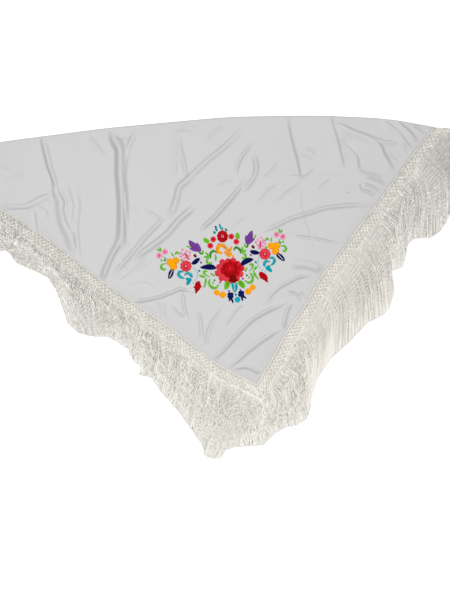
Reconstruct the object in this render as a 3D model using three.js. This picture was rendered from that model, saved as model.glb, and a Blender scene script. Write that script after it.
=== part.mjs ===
// A three-cornered flamenco shawl laid out on a flat surface, seen from above.
// The cloth is one thin sheet with soft folds. A knotted net is tied along each of its two
// short edges, and a long fringe hangs from the net's outermost row of knots.
// Lengths are in millimetres. X runs to the right, Y away from the fringed corner, Z is up.
// The plan is laid out from the cloth's fringed corner, and the finished group is then centred
// over its own footprint, with the surface at Z = 0.

import * as THREE from "three";
import { mergeVertices } from "three/addons/utils/BufferGeometryUtils.js";

// The cloth's two far tips in the plan, seen from its fringed corner.
const LEFT_TIP = new THREE.Vector2(-1011, 688);
const RIGHT_TIP = new THREE.Vector2(532, 772);

// Thicknesses and widths.
const CLOTH_THICK = 1.5;
const SEAM_GAP = 0.3; // between the cloth, the net and the fringe's heading
const NET_WIDTH = 42;
const NET_THICK = 2.4;
const KNOT_RISE = 1.4;
const HEADING_WIDTH = 4.7;
const HEADING_THICK = 4.5;

// How finely each piece is divided.
const KNEES = 10; // straight stretches along each fringed edge
const CLOTH_ROWS = 60;
const NET_CELLS_PER_STRETCH = { left: 5, right: 4 };
const LOCKS_PER_STRETCH = { left: 11, right: 8 };
const LOCK_RINGS = 4;

// The fringed edges aren't quite straight: how far each knee lies outside a straight edge.
const edgeWander = [
  { knee: 0, left: 0, right: 0 },
  { knee: 1, left: 14, right: -6 },
  { knee: 2, left: 8, right: -16 },
  { knee: 3, left: 4, right: -16 },
  { knee: 4, left: 6, right: -24 },
  { knee: 5, left: 1, right: -18 },
  { knee: 6, left: -8, right: -16 },
  { knee: 7, left: -6, right: -11 },
  { knee: 8, left: -2, right: -9 },
  { knee: 9, left: -1, right: -6 },
  { knee: 10, left: 0, right: 0 },
];

// The long bare edge bows upwards between the two tips: its rise over a straight line. The bow
// dies away with a power of the distance from the fringed corner.
const BOW_POWER = 4;
const topRise = [
  { share: 0, rise: 0 },
  { share: 0.15, rise: 25 },
  { share: 0.36, rise: 50 },
  { share: 0.6, rise: 64 },
  { share: 0.77, rise: 54 },
  { share: 0.91, rise: 33 },
  { share: 1, rise: 0 },
];

// The main folds: each crest runs from one point through a second to a third in the plan.
const folds = [
  { name: "far left", from: [-930, 740], by: [-905, 690], to: [-900, 640], half: 24, rise: 4 },
  { name: "left", from: [-645, 780], by: [-615, 645], to: [-588, 562], half: 25, rise: 5.5 },
  { name: "left foot", from: [-590, 570], by: [-560, 477], to: [-530, 355], half: 26, rise: 5.5 },
  { name: "left sill", from: [-800, 545], by: [-695, 545], to: [-622, 577], half: 22, rise: 4 },
  { name: "post", from: [-410, 800], by: [-407, 585], to: [-404, 425], half: 25, rise: 7.5 },
  { name: "post foot", from: [-404, 450], by: [-432, 372], to: [-472, 295], half: 23, rise: 6.5 },
  { name: "first ray", from: [-270, 538], by: [-351, 444], to: [-450, 300], half: 24, rise: 6 },
  { name: "second ray", from: [-165, 560], by: [-252, 462], to: [-350, 372], half: 23, rise: 6 },
  { name: "third ray", from: [4, 645], by: [-87, 543], to: [-190, 430], half: 24, rise: 6.5 },
  { name: "high ray", from: [-4, 815], by: [-156, 660], to: [-246, 578], half: 24, rise: 5.5 },
  { name: "high foot", from: [-238, 592], by: [-253, 552], to: [-262, 505], half: 20, rise: 5 },
  { name: "high slip", from: [-238, 800], by: [-229, 702], to: [-214, 630], half: 20, rise: 4 },
  { name: "middle slip", from: [10, 768], by: [-45, 702], to: [-68, 612], half: 20, rise: 4.5 },
  { name: "pressed line", from: [88, 830], by: [119, 657], to: [150, 530], half: 20, rise: 4.5 },
  { name: "right slip", from: [220, 830], by: [240, 732], to: [266, 635], half: 22, rise: 5 },
  { name: "right bow", from: [215, 806], by: [345, 738], to: [420, 615], half: 24, rise: 6 },
  { name: "tip bow", from: [370, 815], by: [438, 747], to: [484, 690], half: 20, rise: 5 },
  { name: "long bow", from: [-5, 455], by: [174, 528], to: [375, 546], half: 25, rise: 7 },
  { name: "hip line", from: [90, 451], by: [174, 435], to: [268, 408], half: 20, rise: 3.5 },
  { name: "hip", from: [96, 381], by: [159, 374], to: [238, 352], half: 20, rise: 4 },
  { name: "low bow", from: [28, 244], by: [75, 303], to: [200, 338], half: 23, rise: 5.5 },
  { name: "low ray", from: [-138, 58], by: [-30, 171], to: [112, 270], half: 24, rise: 6.5 },
  { name: "corner ray", from: [-88, 38], by: [-15, 102], to: [74, 176], half: 22, rise: 5 },
  { name: "low sill", from: [-400, 240], by: [-306, 264], to: [-205, 290], half: 22, rise: 5.5 },
  { name: "low slip", from: [-158, 90], by: [-141, 168], to: [-100, 250], half: 20, rise: 4.5 },
];
const EDGE_FADE = 34; // folds die away this close to a fringed edge
const CREST_REACH = 11.5; // points of the sheet this far to the side of a crest move onto it
const CREST_STEEP = 0.5; // the least slope of a crest that draws points onto it

// Where the fringe's tips lie from their roots. Along is measured on the fringed edges from
// the corner, negative towards the left tip.
const fringeLay = [
  { along: -1223, right: -20, down: 150 },
  { along: -1100, right: 0, down: 130 },
  { along: -1000, right: 17, down: 102 },
  { along: -900, right: 26, down: 86 },
  { along: -800, right: 26, down: 89 },
  { along: -760, right: 24, down: 92 },
  { along: -700, right: 21, down: 114 },
  { along: -640, right: 16, down: 145 },
  { along: -580, right: 12, down: 156 },
  { along: -520, right: 16, down: 127 },
  { along: -450, right: 13, down: 122 },
  { along: -370, right: -9, down: 151 },
  { along: -330, right: -5, down: 141 },
  { along: -270, right: -17, down: 158 },
  { along: -210, right: -27, down: 173 },
  { along: -150, right: -39, down: 190 },
  { along: -100, right: -47, down: 207 },
  { along: -60, right: -52, down: 185 },
  { along: -30, right: -51, down: 141 },
  { along: 0, right: -33, down: 121 },
  { along: 30, right: -8, down: 141 },
  { along: 60, right: 19, down: 141 },
  { along: 94, right: 32, down: 163 },
  { along: 130, right: 36, down: 170 },
  { along: 170, right: 30, down: 164 },
  { along: 220, right: 22, down: 157 },
  { along: 320, right: 16, down: 165 },
  { along: 380, right: 27, down: 180 },
  { along: 490, right: 39, down: 197 },
  { along: 590, right: 34, down: 220 },
  { along: 640, right: 25, down: 207 },
  { along: 680, right: 18, down: 188 },
  { along: 740, right: 14, down: 167 },
  { along: 780, right: 20, down: 180 },
  { along: 830, right: 32, down: 202 },
  { along: 938, right: 62, down: 204 },
];
const LOCK_HALF = 3.1; // half a lock's width at its root
const LOCK_ROOM = 0.37; // of the room between neighbours that a lock's half width may take
const LOCK_STAND = 0.24; // how long a lock points straight out, as a share of its length
const LOCK_NARROWING = 0.45; // the share of its width that a lock loses before its point
const LOCK_SINKING = 0.5; // the share of its height that a lock loses before its point

// A smooth curve through a table's rows, read at one value of its key column.
function readTable(rows, key, at, column) {
  let i = 0;
  while (i < rows.length - 2 && at > rows[i + 1][key]) i += 1;
  const slope = (k) => {
    const before = rows[Math.max(k - 1, 0)];
    const after = rows[Math.min(k + 1, rows.length - 1)];
    return (after[column] - before[column]) / (after[key] - before[key]);
  };
  const width = rows[i + 1][key] - rows[i][key];
  const t = THREE.MathUtils.clamp((at - rows[i][key]) / width, 0, 1);
  const start = (1 + 2 * t) * (1 - t) ** 2 * rows[i][column];
  const end = t * t * (3 - 2 * t) * rows[i + 1][column];
  const lean = t * (1 - t) ** 2 * slope(i) - t * t * (1 - t) * slope(i + 1);
  return start + end + lean * width;
}

const smooth = (x) => THREE.MathUtils.smoothstep(x, 0, 1);

// One fringed edge: its knees, and the direction in which each knee is moved to draw a
// parallel edge further out.
function fringedEdge(side, tip) {
  const length = tip.length();
  const run = tip.clone().normalize();
  const out = side === "left" ? new THREE.Vector2(-run.y, run.x) : new THREE.Vector2(run.y, -run.x);
  const knees = edgeWander.map((row) =>
    run.clone().multiplyScalar((length * row.knee) / KNEES).addScaledVector(out, row[side]),
  );
  const normals = knees.slice(1).map((knee, k) => {
    const step = knee.clone().sub(knees[k]).normalize();
    return side === "left" ? new THREE.Vector2(-step.y, step.x) : new THREE.Vector2(step.y, -step.x);
  });
  return { side, length, knees, normals, offsets: [] };
}

// The direction and length that move a knee so that both edges beside it move out by one.
function mitre(a, b) {
  return a.clone().add(b).divideScalar(1 + a.dot(b));
}

const edges = { left: fringedEdge("left", LEFT_TIP), right: fringedEdge("right", RIGHT_TIP) };
const atCorner = mitre(edges.left.normals[0], edges.right.normals[0]);
for (const edge of Object.values(edges)) {
  edge.offsets = edge.knees.map((_, k) => {
    if (k === 0) return atCorner;
    if (k === KNEES) return edge.normals[KNEES - 1];
    return mitre(edge.normals[k - 1], edge.normals[k]);
  });
}
// At the right tip the net and the fringe are cut off in line with the bare top edge.
const TOP_END = new THREE.Vector2(1, -0.09).normalize();
edges.right.offsets[KNEES] = TOP_END.clone().divideScalar(TOP_END.dot(edges.right.normals[KNEES - 1]));

// A point on a fringed edge, at a share of its length from the corner and so far outside it.
function edgePoint(edge, share, outside) {
  const place = THREE.MathUtils.clamp(share, 0, 1) * KNEES;
  const k = Math.min(Math.floor(place), KNEES - 1);
  const start = edge.knees[k].clone().addScaledVector(edge.offsets[k], outside);
  const end = edge.knees[k + 1].clone().addScaledVector(edge.offsets[k + 1], outside);
  return start.lerp(end, place - k);
}

// A closed mesh from points and triangles, with shared points merged.
function closedMesh(name, triangles, material) {
  const positions = triangles.flatMap((corners) => corners.flatMap((p) => [p.x, p.y, p.z]));
  const loose = new THREE.BufferGeometry();
  loose.setAttribute("position", new THREE.Float32BufferAttribute(positions, 3));
  const geometry = mergeVertices(loose, 1e-3);
  geometry.computeVertexNormals();
  const mesh = new THREE.Mesh(geometry, material);
  mesh.name = name;
  return mesh;
}

const up = (point, z) => new THREE.Vector3(point.x, point.y, z);
const quad = (a, b, c, d) => [
  [a, b, c],
  [a, c, d],
];

// Each fold's crest as a smooth curve that passes through its middle point.
const CREST_STEPS = 24; // straight steps along each crest
const crests = folds.map((fold) => {
  const [from, by, to] = [fold.from, fold.by, fold.to].map((p) => new THREE.Vector2(...p));
  const bend = by.clone().multiplyScalar(2).sub(from.clone().add(to).multiplyScalar(0.5));
  return { ...fold, line: new THREE.QuadraticBezierCurve(from, bend, to).getPoints(CREST_STEPS) };
});

// The nearest point of a crest: its distance and its share of the way along.
function nearestOnCrest(crest, point) {
  let best = { distance: Infinity };
  const steps = crest.line.length - 1;
  for (let i = 0; i < steps; i += 1) {
    const start = crest.line[i];
    const step = crest.line[i + 1].clone().sub(start);
    const t = THREE.MathUtils.clamp(point.clone().sub(start).dot(step) / step.lengthSq(), 0, 1);
    const distance = start.clone().addScaledVector(step, t).distanceTo(point);
    if (distance < best.distance) best = { distance, share: (i + t) / steps };
  }
  return best;
}

// How high the folds lift the cloth at a point. Each fold is a rounded ridge with tapered ends,
// and where folds meet they blend instead of adding up.
const BLEND = 3; // the higher, the more the taller of two meeting folds rules
const TAPER = 0.22; // the share of a crest over which each of its ends dies away
function foldHeight(point) {
  let sum = 0;
  for (const crest of crests) {
    const near = nearestOnCrest(crest, point);
    if (near.distance < crest.half) {
      const across = Math.cos((Math.PI / 2) * (near.distance / crest.half)) ** 2;
      const ends = smooth(near.share / TAPER) * smooth((1 - near.share) / TAPER);
      sum += (crest.rise * across * ends) ** BLEND;
    }
  }
  return sum ** (1 / BLEND);
}

// The cloth: a triangular lattice of points from the corner to the bare top edge, moved onto
// the crests of the folds and lifted by them, with an upper and a lower skin.
function makeCloth(material) {
  const edgeShare = (j) => j / CLOTH_ROWS;
  const lattice = [];
  for (let j = 0; j <= CLOTH_ROWS; j += 1) {
    const start = edgePoint(edges.left, edgeShare(j), 0);
    const end = edgePoint(edges.right, edgeShare(j), 0);
    const row = [];
    for (let i = 0; i <= j; i += 1) {
      const share = j ? i / j : 0;
      const point = start.clone().lerp(end, share);
      point.y += readTable(topRise, "share", share, "rise") * edgeShare(j) ** BOW_POWER;
      const inside = i > 0 && i < j && j < CLOTH_ROWS;
      row.push(clothPoint(point, i, j, inside));
    }
    lattice.push(row);
  }
  const lower = (i, j) => up(lattice[j][i].plan, lattice[j][i].z);
  const upper = (i, j) => up(lattice[j][i].plan, lattice[j][i].z + CLOTH_THICK);
  const triangles = [];
  for (let j = 0; j < CLOTH_ROWS; j += 1) {
    for (let i = 0; i <= j; i += 1) {
      triangles.push([upper(i, j), upper(i + 1, j + 1), upper(i, j + 1)]);
      triangles.push([lower(i, j), lower(i, j + 1), lower(i + 1, j + 1)]);
      if (i < j) {
        triangles.push([upper(i, j), upper(i + 1, j), upper(i + 1, j + 1)]);
        triangles.push([lower(i, j), lower(i + 1, j + 1), lower(i + 1, j)]);
      }
    }
    triangles.push(...quad(upper(0, j), upper(0, j + 1), lower(0, j + 1), lower(0, j)));
    triangles.push(...quad(lower(j, j), lower(j + 1, j + 1), upper(j + 1, j + 1), upper(j, j)));
  }
  for (let i = 0; i < CLOTH_ROWS; i += 1) {
    const j = CLOTH_ROWS;
    triangles.push(...quad(upper(i, j), upper(i + 1, j), lower(i + 1, j), lower(i, j)));
  }
  return closedMesh("cloth", triangles, material);
}

// Moves a point sideways onto the first crest that crosses its row of the lattice nearby.
function drawOntoCrest(point) {
  for (const crest of crests) {
    for (let n = 1; n < crest.line.length; n += 1) {
      const [from, to] = [crest.line[n - 1], crest.line[n]];
      const steep = Math.abs(to.y - from.y) > CREST_STEEP * Math.abs(to.x - from.x);
      const t = (point.y - from.y) / (to.y - from.y);
      const side = THREE.MathUtils.lerp(from.x, to.x, t);
      if (steep && t >= 0 && t <= 1 && Math.abs(side - point.x) < CREST_REACH) {
        point.x = side;
        return;
      }
    }
  }
}

// A lattice point, moved onto a crest that is close by, and its height.
function clothPoint(plan, i, j, inside) {
  if (inside) drawOntoCrest(plan);
  const fromLeft = (i / CLOTH_ROWS) * edges.right.length;
  const fromRight = ((j - i) / CLOTH_ROWS) * edges.left.length;
  const fade = smooth(Math.min(fromLeft, fromRight) / EDGE_FADE);
  return { plan, z: foldHeight(plan) * fade };
}

// One cell of the net, drawn one cell wide and one net's width deep: a diamond gap in the
// middle, and half a smaller gap at each side next to the cloth.
const cellOutline = [
  { across: 0, depth: 0 },
  { across: 1, depth: 0 },
  { across: 1, depth: 0.1 },
  { across: 0.64, depth: 0.1 },
  { across: 1, depth: 0.4 },
  { across: 1, depth: 1 },
  { across: 0, depth: 1 },
  { across: 0, depth: 0.4 },
  { across: 0.36, depth: 0.1 },
  { across: 0, depth: 0.1 },
];
const cellGap = [
  { across: 0.5, depth: 0.16 },
  { across: 0.1, depth: 0.52 },
  { across: 0.5, depth: 0.88 },
  { across: 0.9, depth: 0.52 },
];
const CLEAR_OF_CORNER = 0.0006; // the share of an edge left free where the two nets meet

// The knotted net along one edge: repeated cells, with every corner of a gap raised as a knot.
function makeNet(edge, material) {
  const cells = KNEES * NET_CELLS_PER_STRETCH[edge.side];
  const asPoint = (row) => new THREE.Vector2(row.across, row.depth);
  const [outline, gap] = [cellOutline.map(asPoint), cellGap.map(asPoint)];
  const corners = [...outline, ...gap];
  const faces = THREE.ShapeUtils.triangulateShape(outline, [gap]);
  const isKnot = (p) => p.y > 0 && p.y < 1;
  const turn = edge.side === "right";

  const place = (cell, p, top) => {
    const share = Math.max((cell + p.x) / cells, CLEAR_OF_CORNER);
    const plan = edgePoint(edge, share, SEAM_GAP + p.y * NET_WIDTH);
    const height = NET_THICK + (isKnot(p) ? KNOT_RISE : 0);
    return up(plan, top ? height : 0);
  };
  const triangles = [];
  const add = (list) => {
    for (const [a, b, c] of list) triangles.push(turn ? [a, c, b] : [a, b, c]);
  };
  const wall = (cell, a, b) =>
    add(quad(place(cell, a, false), place(cell, b, false), place(cell, b, true), place(cell, a, true)));
  const loop = (cell, points, skip) => {
    points.forEach((a, n) => {
      const b = points[(n + 1) % points.length];
      if (!skip(a, b)) wall(cell, a, b);
    });
  };
  for (let cell = 0; cell < cells; cell += 1) {
    for (const [a, b, c] of faces) {
      const [p, q, r] = [corners[a], corners[b], corners[c]];
      add([[place(cell, p, true), place(cell, q, true), place(cell, r, true)]]);
      add([[place(cell, p, false), place(cell, r, false), place(cell, q, false)]]);
    }
    const shared = (a, b) => a.x === b.x && ((a.x === 0 && cell > 0) || (a.x === 1 && cell < cells - 1));
    loop(cell, outline, shared);
    loop(cell, gap, () => false);
  }
  return closedMesh(`knotted_net_${edge.side}`, triangles, material);
}

// One lock of fringe: the centre line from its root to its tip.
function lockLine(edge, share) {
  const root = edgePoint(edge, share, 2 * SEAM_GAP + NET_WIDTH + HEADING_WIDTH);
  const sign = edge.side === "left" ? -1 : 1;
  const along = sign * share * edge.length;
  const lay = new THREE.Vector2(
    readTable(fringeLay, "along", along, "right"),
    -readTable(fringeLay, "along", along, "down"),
  );
  const k = Math.min(Math.floor(share * KNEES), KNEES - 1);
  const out = edge.offsets[k].clone().lerp(edge.offsets[k + 1], share * KNEES - k).normalize();
  const bend = root.clone().addScaledVector(out, LOCK_STAND * lay.length());
  return new THREE.QuadraticBezierCurve(root, bend, root.clone().add(lay));
}

// The fringe along one edge: a narrow heading, and locks that stand apart from each other,
// three-sided, flat below and drawn to a point.
function makeFringe(edge, material) {
  const count = KNEES * LOCKS_PER_STRETCH[edge.side];
  const shares = Array.from({ length: count }, (_, n) => (n + 0.5) / count);
  const lines = shares.map((share) => lockLine(edge, share));
  const turn = edge.side === "right";
  const inner = SEAM_GAP + NET_WIDTH + SEAM_GAP;
  const outer = inner + HEADING_WIDTH;
  const triangles = [];
  const add = (...list) => {
    for (const [a, b, c] of list) triangles.push(turn ? [a, c, b] : [a, b, c]);
  };

  // The room beside a lock at a share of its length, square to its direction.
  const room = (n, u) => {
    const [here, way] = [lines[n].getPoint(u), lines[n].getTangent(u)];
    const gaps = [n - 1, n + 1]
      .filter((m) => lines[m])
      .map((m) => Math.abs(way.cross(lines[m].getPoint(u).sub(here))));
    return Math.min(...gaps);
  };
  const ring = (n, k) => {
    const u = k / LOCK_RINGS;
    const half = Math.min(LOCK_HALF * (1 - LOCK_NARROWING * u), LOCK_ROOM * room(n, u));
    const [here, way] = [lines[n].getPoint(u), lines[n].getTangent(u)];
    const side = new THREE.Vector2(-way.y, way.x).multiplyScalar(turn ? half : -half);
    const height = HEADING_THICK * (1 - LOCK_SINKING * u);
    return [up(here.clone().sub(side), 0), up(here.clone().add(side), 0), up(here, height)];
  };
  const station = (share, half) => ({
    low: up(edgePoint(edge, share - half, outer), 0),
    far: up(edgePoint(edge, share + half, outer), 0),
    crest: up(edgePoint(edge, share, outer), HEADING_THICK),
    innerLow: up(edgePoint(edge, share, inner), 0),
    innerTop: up(edgePoint(edge, share, inner), HEADING_THICK),
  });
  const rootHalf = LOCK_HALF / edge.length;
  const stations = shares.map((share) => station(share, rootHalf));
  const knees = Array.from({ length: KNEES + 1 }, (_, k) =>
    station(k ? k / KNEES : CLEAR_OF_CORNER, 0),
  );
  const perStretch = LOCKS_PER_STRETCH[edge.side];
  const chain = knees.flatMap((knee, k) => [knee, ...stations.slice(k * perStretch, (k + 1) * perStretch)]);

  chain.forEach((s, n) => {
    if (s.low.distanceTo(s.far) > 0) add([s.innerLow, s.low, s.far]);
    const next = chain[n + 1];
    if (!next) return;
    add([s.far, next.crest, next.low], [s.far, s.crest, next.crest]);
    add(...quad(s.crest, s.innerTop, next.innerTop, next.crest));
    add(...quad(s.innerTop, s.innerLow, next.innerLow, next.innerTop));
    add([s.innerLow, s.far, next.low], [s.innerLow, next.low, next.innerLow]);
  });
  const [first, last] = [chain[0], chain[chain.length - 1]];
  add(...quad(first.innerLow, first.innerTop, first.crest, first.low));
  add(...quad(last.low, last.crest, last.innerTop, last.innerLow));

  stations.forEach((s, n) => {
    let here = [s.low, s.far, s.crest];
    for (let k = 1; k < LOCK_RINGS; k += 1) {
      const next = ring(n, k);
      for (let c = 0; c < 3; c += 1) {
        const d = (c + 1) % 3;
        add(...quad(here[d], here[c], next[c], next[d]));
      }
      here = next;
    }
    const tip = up(lines[n].getPoint(1), 0);
    for (let c = 0; c < 3; c += 1) add([here[(c + 1) % 3], here[c], tip]);
  });
  return closedMesh(`fringe_${edge.side}`, triangles, material);
}

const satin = new THREE.MeshStandardMaterial({ color: 0xcfcfcf, roughness: 0.55, metalness: 0 });
const yarn = new THREE.MeshStandardMaterial({ color: 0xd6d2c6, roughness: 0.8, metalness: 0 });
const knots = new THREE.MeshStandardMaterial({ color: 0xd2cec2, roughness: 0.85, metalness: 0 });

const shawl = new THREE.Group();
shawl.add(makeCloth(satin));
shawl.add(makeNet(edges.left, knots), makeNet(edges.right, knots));
shawl.add(makeFringe(edges.left, yarn), makeFringe(edges.right, yarn));

// Centre the shawl over its footprint.
const footprint = new THREE.Box3().setFromObject(shawl);
shawl.position.x = -(footprint.min.x + footprint.max.x) / 2;
shawl.position.y = -(footprint.min.y + footprint.max.y) / 2;

export default shawl;
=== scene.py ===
# %% [markdown]
# This lesson dresses a three-cornered flamenco shawl that lies flat, seen from straight above.
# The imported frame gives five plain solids: the cloth, two knotted nets and two fringes. Every
# step below makes one of the shawl's real parts in the same place, in metres: the silky cloth
# with its creases, the knotted net, the long crinkled fringe and the embroidered spray.

# %% Load the frame
import math

import bpy
import numpy as np
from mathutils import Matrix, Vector


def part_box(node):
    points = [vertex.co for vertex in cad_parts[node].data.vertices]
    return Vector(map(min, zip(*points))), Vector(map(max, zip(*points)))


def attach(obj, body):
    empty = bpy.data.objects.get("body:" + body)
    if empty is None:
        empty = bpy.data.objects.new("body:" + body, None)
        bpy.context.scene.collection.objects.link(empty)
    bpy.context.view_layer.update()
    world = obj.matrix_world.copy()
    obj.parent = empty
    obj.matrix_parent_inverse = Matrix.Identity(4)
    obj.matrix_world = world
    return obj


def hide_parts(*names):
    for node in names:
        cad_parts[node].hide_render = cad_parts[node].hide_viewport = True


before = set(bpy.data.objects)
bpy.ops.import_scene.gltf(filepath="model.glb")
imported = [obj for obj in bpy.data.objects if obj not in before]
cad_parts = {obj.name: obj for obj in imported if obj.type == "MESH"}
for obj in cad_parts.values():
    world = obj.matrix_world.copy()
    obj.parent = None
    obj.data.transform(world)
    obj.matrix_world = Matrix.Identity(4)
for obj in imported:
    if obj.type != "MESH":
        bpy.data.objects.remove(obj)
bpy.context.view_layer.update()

# %% [markdown]
# The shawl was measured from its fringed corner, so that corner is the plan's zero. The frame
# puts its own zero under the middle of the footprint instead. The cloth's own box tells how far
# the two zeros lie apart: its right tip and its lowest corner are known points of the plan.

# %% The plan: its zero and the two far tips
CM = 0.01
MM = 0.001
SIDES = ("left", "right")
LEFT_TIP = np.array((-1.011, 0.688))  # metres from the fringed corner
RIGHT_TIP = np.array((0.532, 0.772))

cloth_low, cloth_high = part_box("cloth")
PLAN_ZERO = np.array((cloth_high[0] - RIGHT_TIP[0], cloth_low[1]))


def in_frame(plan, height):
    """Plan points and their heights, as points of the frame."""
    plan = np.asarray(plan, float)
    return np.column_stack([plan + PLAN_ZERO, np.broadcast_to(height, len(plan))])


print("plan zero", PLAN_ZERO.round(4))

# %% [markdown]
# Each fringed edge wanders a little, as cloth does when it is laid out by hand. Eleven knees
# say how many millimetres it lies outside a straight line, and a smooth curve runs through
# them. A Bezier curve object could hold it too, but the lattice of the cloth needs the curve's
# points as numbers. The net and the fringe follow the same curve, moved further out, so they
# meet the cloth all the way.

# %% The two fringed edges
STRETCHES = 10  # between the eleven knees
WANDER = {
    "left": (0, 14, 8, 4, 6, 1, -8, -6, -2, -1, 0),
    "right": (0, -6, -16, -16, -24, -18, -16, -11, -9, -6, 0),
}
TOP_END = np.array((1, -0.09)) / math.hypot(1, 0.09)  # the way that the right net's end runs


def turned(vectors, side):
    """The outward direction, square to a run that leads away from the fringed corner."""
    x, y = vectors[..., 0], vectors[..., 1]
    return np.stack([-y, x] if side == "left" else [y, -x], axis=-1)


def unit(vectors):
    """The same directions, one long."""
    return vectors / np.linalg.norm(vectors, axis=-1, keepdims=True)


def knee_points(side, tip):
    """The knees of one edge, from the fringed corner to its tip."""
    run = tip / np.linalg.norm(tip)
    shares = np.arange(STRETCHES + 1)[:, None] / STRETCHES
    return shares * tip + np.array(WANDER[side])[:, None] * MM * turned(run, side)


def mitred(normals):
    """The outward step at each knee that moves both stretches beside it out by one."""
    before, after = normals[:-1], normals[1:]
    return (before + after) / (1 + (before * after).sum(axis=1, keepdims=True))


EDGE_KNEES = {"left": knee_points("left", LEFT_TIP), "right": knee_points("right", RIGHT_TIP)}
STRETCH_NORMALS = {
    side: turned(unit(np.diff(knees, axis=0)), side) for side, knees in EDGE_KNEES.items()
}
CORNER_STEP = mitred(np.array([STRETCH_NORMALS[side][0] for side in SIDES]))[0]
LAST_STEP = {
    "left": STRETCH_NORMALS["left"][-1],
    "right": TOP_END / (TOP_END @ STRETCH_NORMALS["right"][-1]),
}
KNEE_STEPS = {
    side: np.vstack([CORNER_STEP, mitred(normals), LAST_STEP[side]])
    for side, normals in STRETCH_NORMALS.items()
}
print({side: len(knees) for side, knees in EDGE_KNEES.items()}, "knees")

# %% A smooth curve through the knees
def smooth_run(values, at):
    """A smooth curve through evenly spaced rows of values, read at shares from 0 to 1."""
    last = len(values) - 1
    place = np.clip(np.asarray(at, float), 0, 1) * last
    i = np.minimum(place.astype(int), last - 1)
    t = (place - i)[..., None]
    slope = np.gradient(values, axis=0)
    return (
        (1 + 2 * t) * (1 - t) ** 2 * values[i]
        + t * t * (3 - 2 * t) * values[i + 1]
        + t * (1 - t) ** 2 * slope[i]
        - t * t * (1 - t) * slope[i + 1]
    )


def edge_points(side, shares, outside=0.0):
    """Points on a fringed edge, moved out by a distance in metres."""
    shares = np.asarray(shares, float)
    outside = np.broadcast_to(outside, shares.shape)[..., None]
    return smooth_run(EDGE_KNEES[side], shares) + outside * smooth_run(KNEE_STEPS[side], shares)


EDGE_LENGTH = {side: float(np.linalg.norm(EDGE_KNEES[side][-1])) for side in SIDES}
print("straight lengths of the edges", EDGE_LENGTH)

# %% [markdown]
# The cloth's creases were placed on the photograph, in centimetres from the fringed corner. Each row is one
# crease: how far it spreads to the left and to the right of its path, in millimetres, how high it stands (a
# trough is below zero), and the points of its path. A cloth simulation gives lively folds, but never these
# very ones, so they are laid one by one.

# %% The creases near the left end
CREASES = [
    ("left post", 18, 6, 4.2, [
        (-64.8, 76), (-63.8, 71.4), (-62.9, 67.8), (-62, 64.2), (-60.6, 60.4), (-59.6, 57.6),
    ]),
    ("left shin", 17, 22, 3.3, [
        (-61.8, 64.2), (-60.2, 58.2), (-58.7, 54.9), (-58.5, 52.2), (-57.6, 48), (-56.1, 45),
        (-55.1, 41.4), (-54.6, 36.6),
    ]),
    ("left shin line", 5, 5, -1.8, [(-62.7, 65.4), (-61.7, 61.2), (-61.4, 57.6), (-60.9, 54.6)]),
    ("left calf line", 6, 6, -1.8, [
        (-60.3, 63.4), (-59, 58.4), (-57.8, 56), (-57.1, 54.3), (-57.5, 52.2),
        (-56.5, 48.6), (-54.9, 45.6),
    ]),
    ("left side line", 6, 6, -1.8, [(-57.2, 61.5), (-56.2, 57), (-55.3, 53.7), (-55.5, 50.7), (-56.2, 48)]),
    ("left broad line", 9, 9, -1.6, [
        (-53.9, 60.5), (-53.9, 56.7), (-53.4, 53.7), (-53.7, 50.7), (-54, 47.7), (-53.9, 44.7),
        (-53.7, 41.7), (-53.3, 38.7), (-53.1, 34.5),
    ]),
    ("left shade one", 8, 8, -1.6, [(-66.8, 52.5), (-66.5, 48.5), (-66, 44.5)]),
    ("left shade two", 9, 9, -1.5, [(-64.5, 46), (-64.9, 42.5), (-64.2, 38)]),
    ("left hook", 6, 6, -1.2, [(-66.6, 52.2), (-64.5, 52.7), (-63, 51.3), (-64.2, 49.5)]),
    ("left sill", 12, 16, 1.7, [
        (-84, 53.4), (-77.4, 53.6), (-70.8, 53.5), (-67.8, 54.3), (-65.4, 55.5), (-63, 56.4),
        (-61.2, 55.6), (-58.8, 55.2),
    ]),
    ("left sill line", 5, 5, -0.9, [
        (-76.8, 54.2), (-69.9, 54.2), (-66.3, 56), (-63, 57.4), (-61.5, 56.6),
    ]),
    ("left low sill", 5, 5, -1.0, [
        (-75, 51.9), (-70.8, 52.4), (-68.4, 52.5), (-65.4, 53.6), (-63, 54.8),
    ]),
    ("far left soft one", 6, 6, -0.8, [(-76.8, 60.2), (-73.2, 62.4), (-69.9, 63)]),
    ("far left soft two", 6, 6, -0.8, [(-78, 65.1), (-75.8, 64.6), (-73.6, 63.9)]),
    ("left thin line", 5, 5, -1.8, [(-51, 75.3), (-48.3, 72), (-44.7, 67.5)]),
]
print(len(CREASES), "creases so far")

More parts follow.
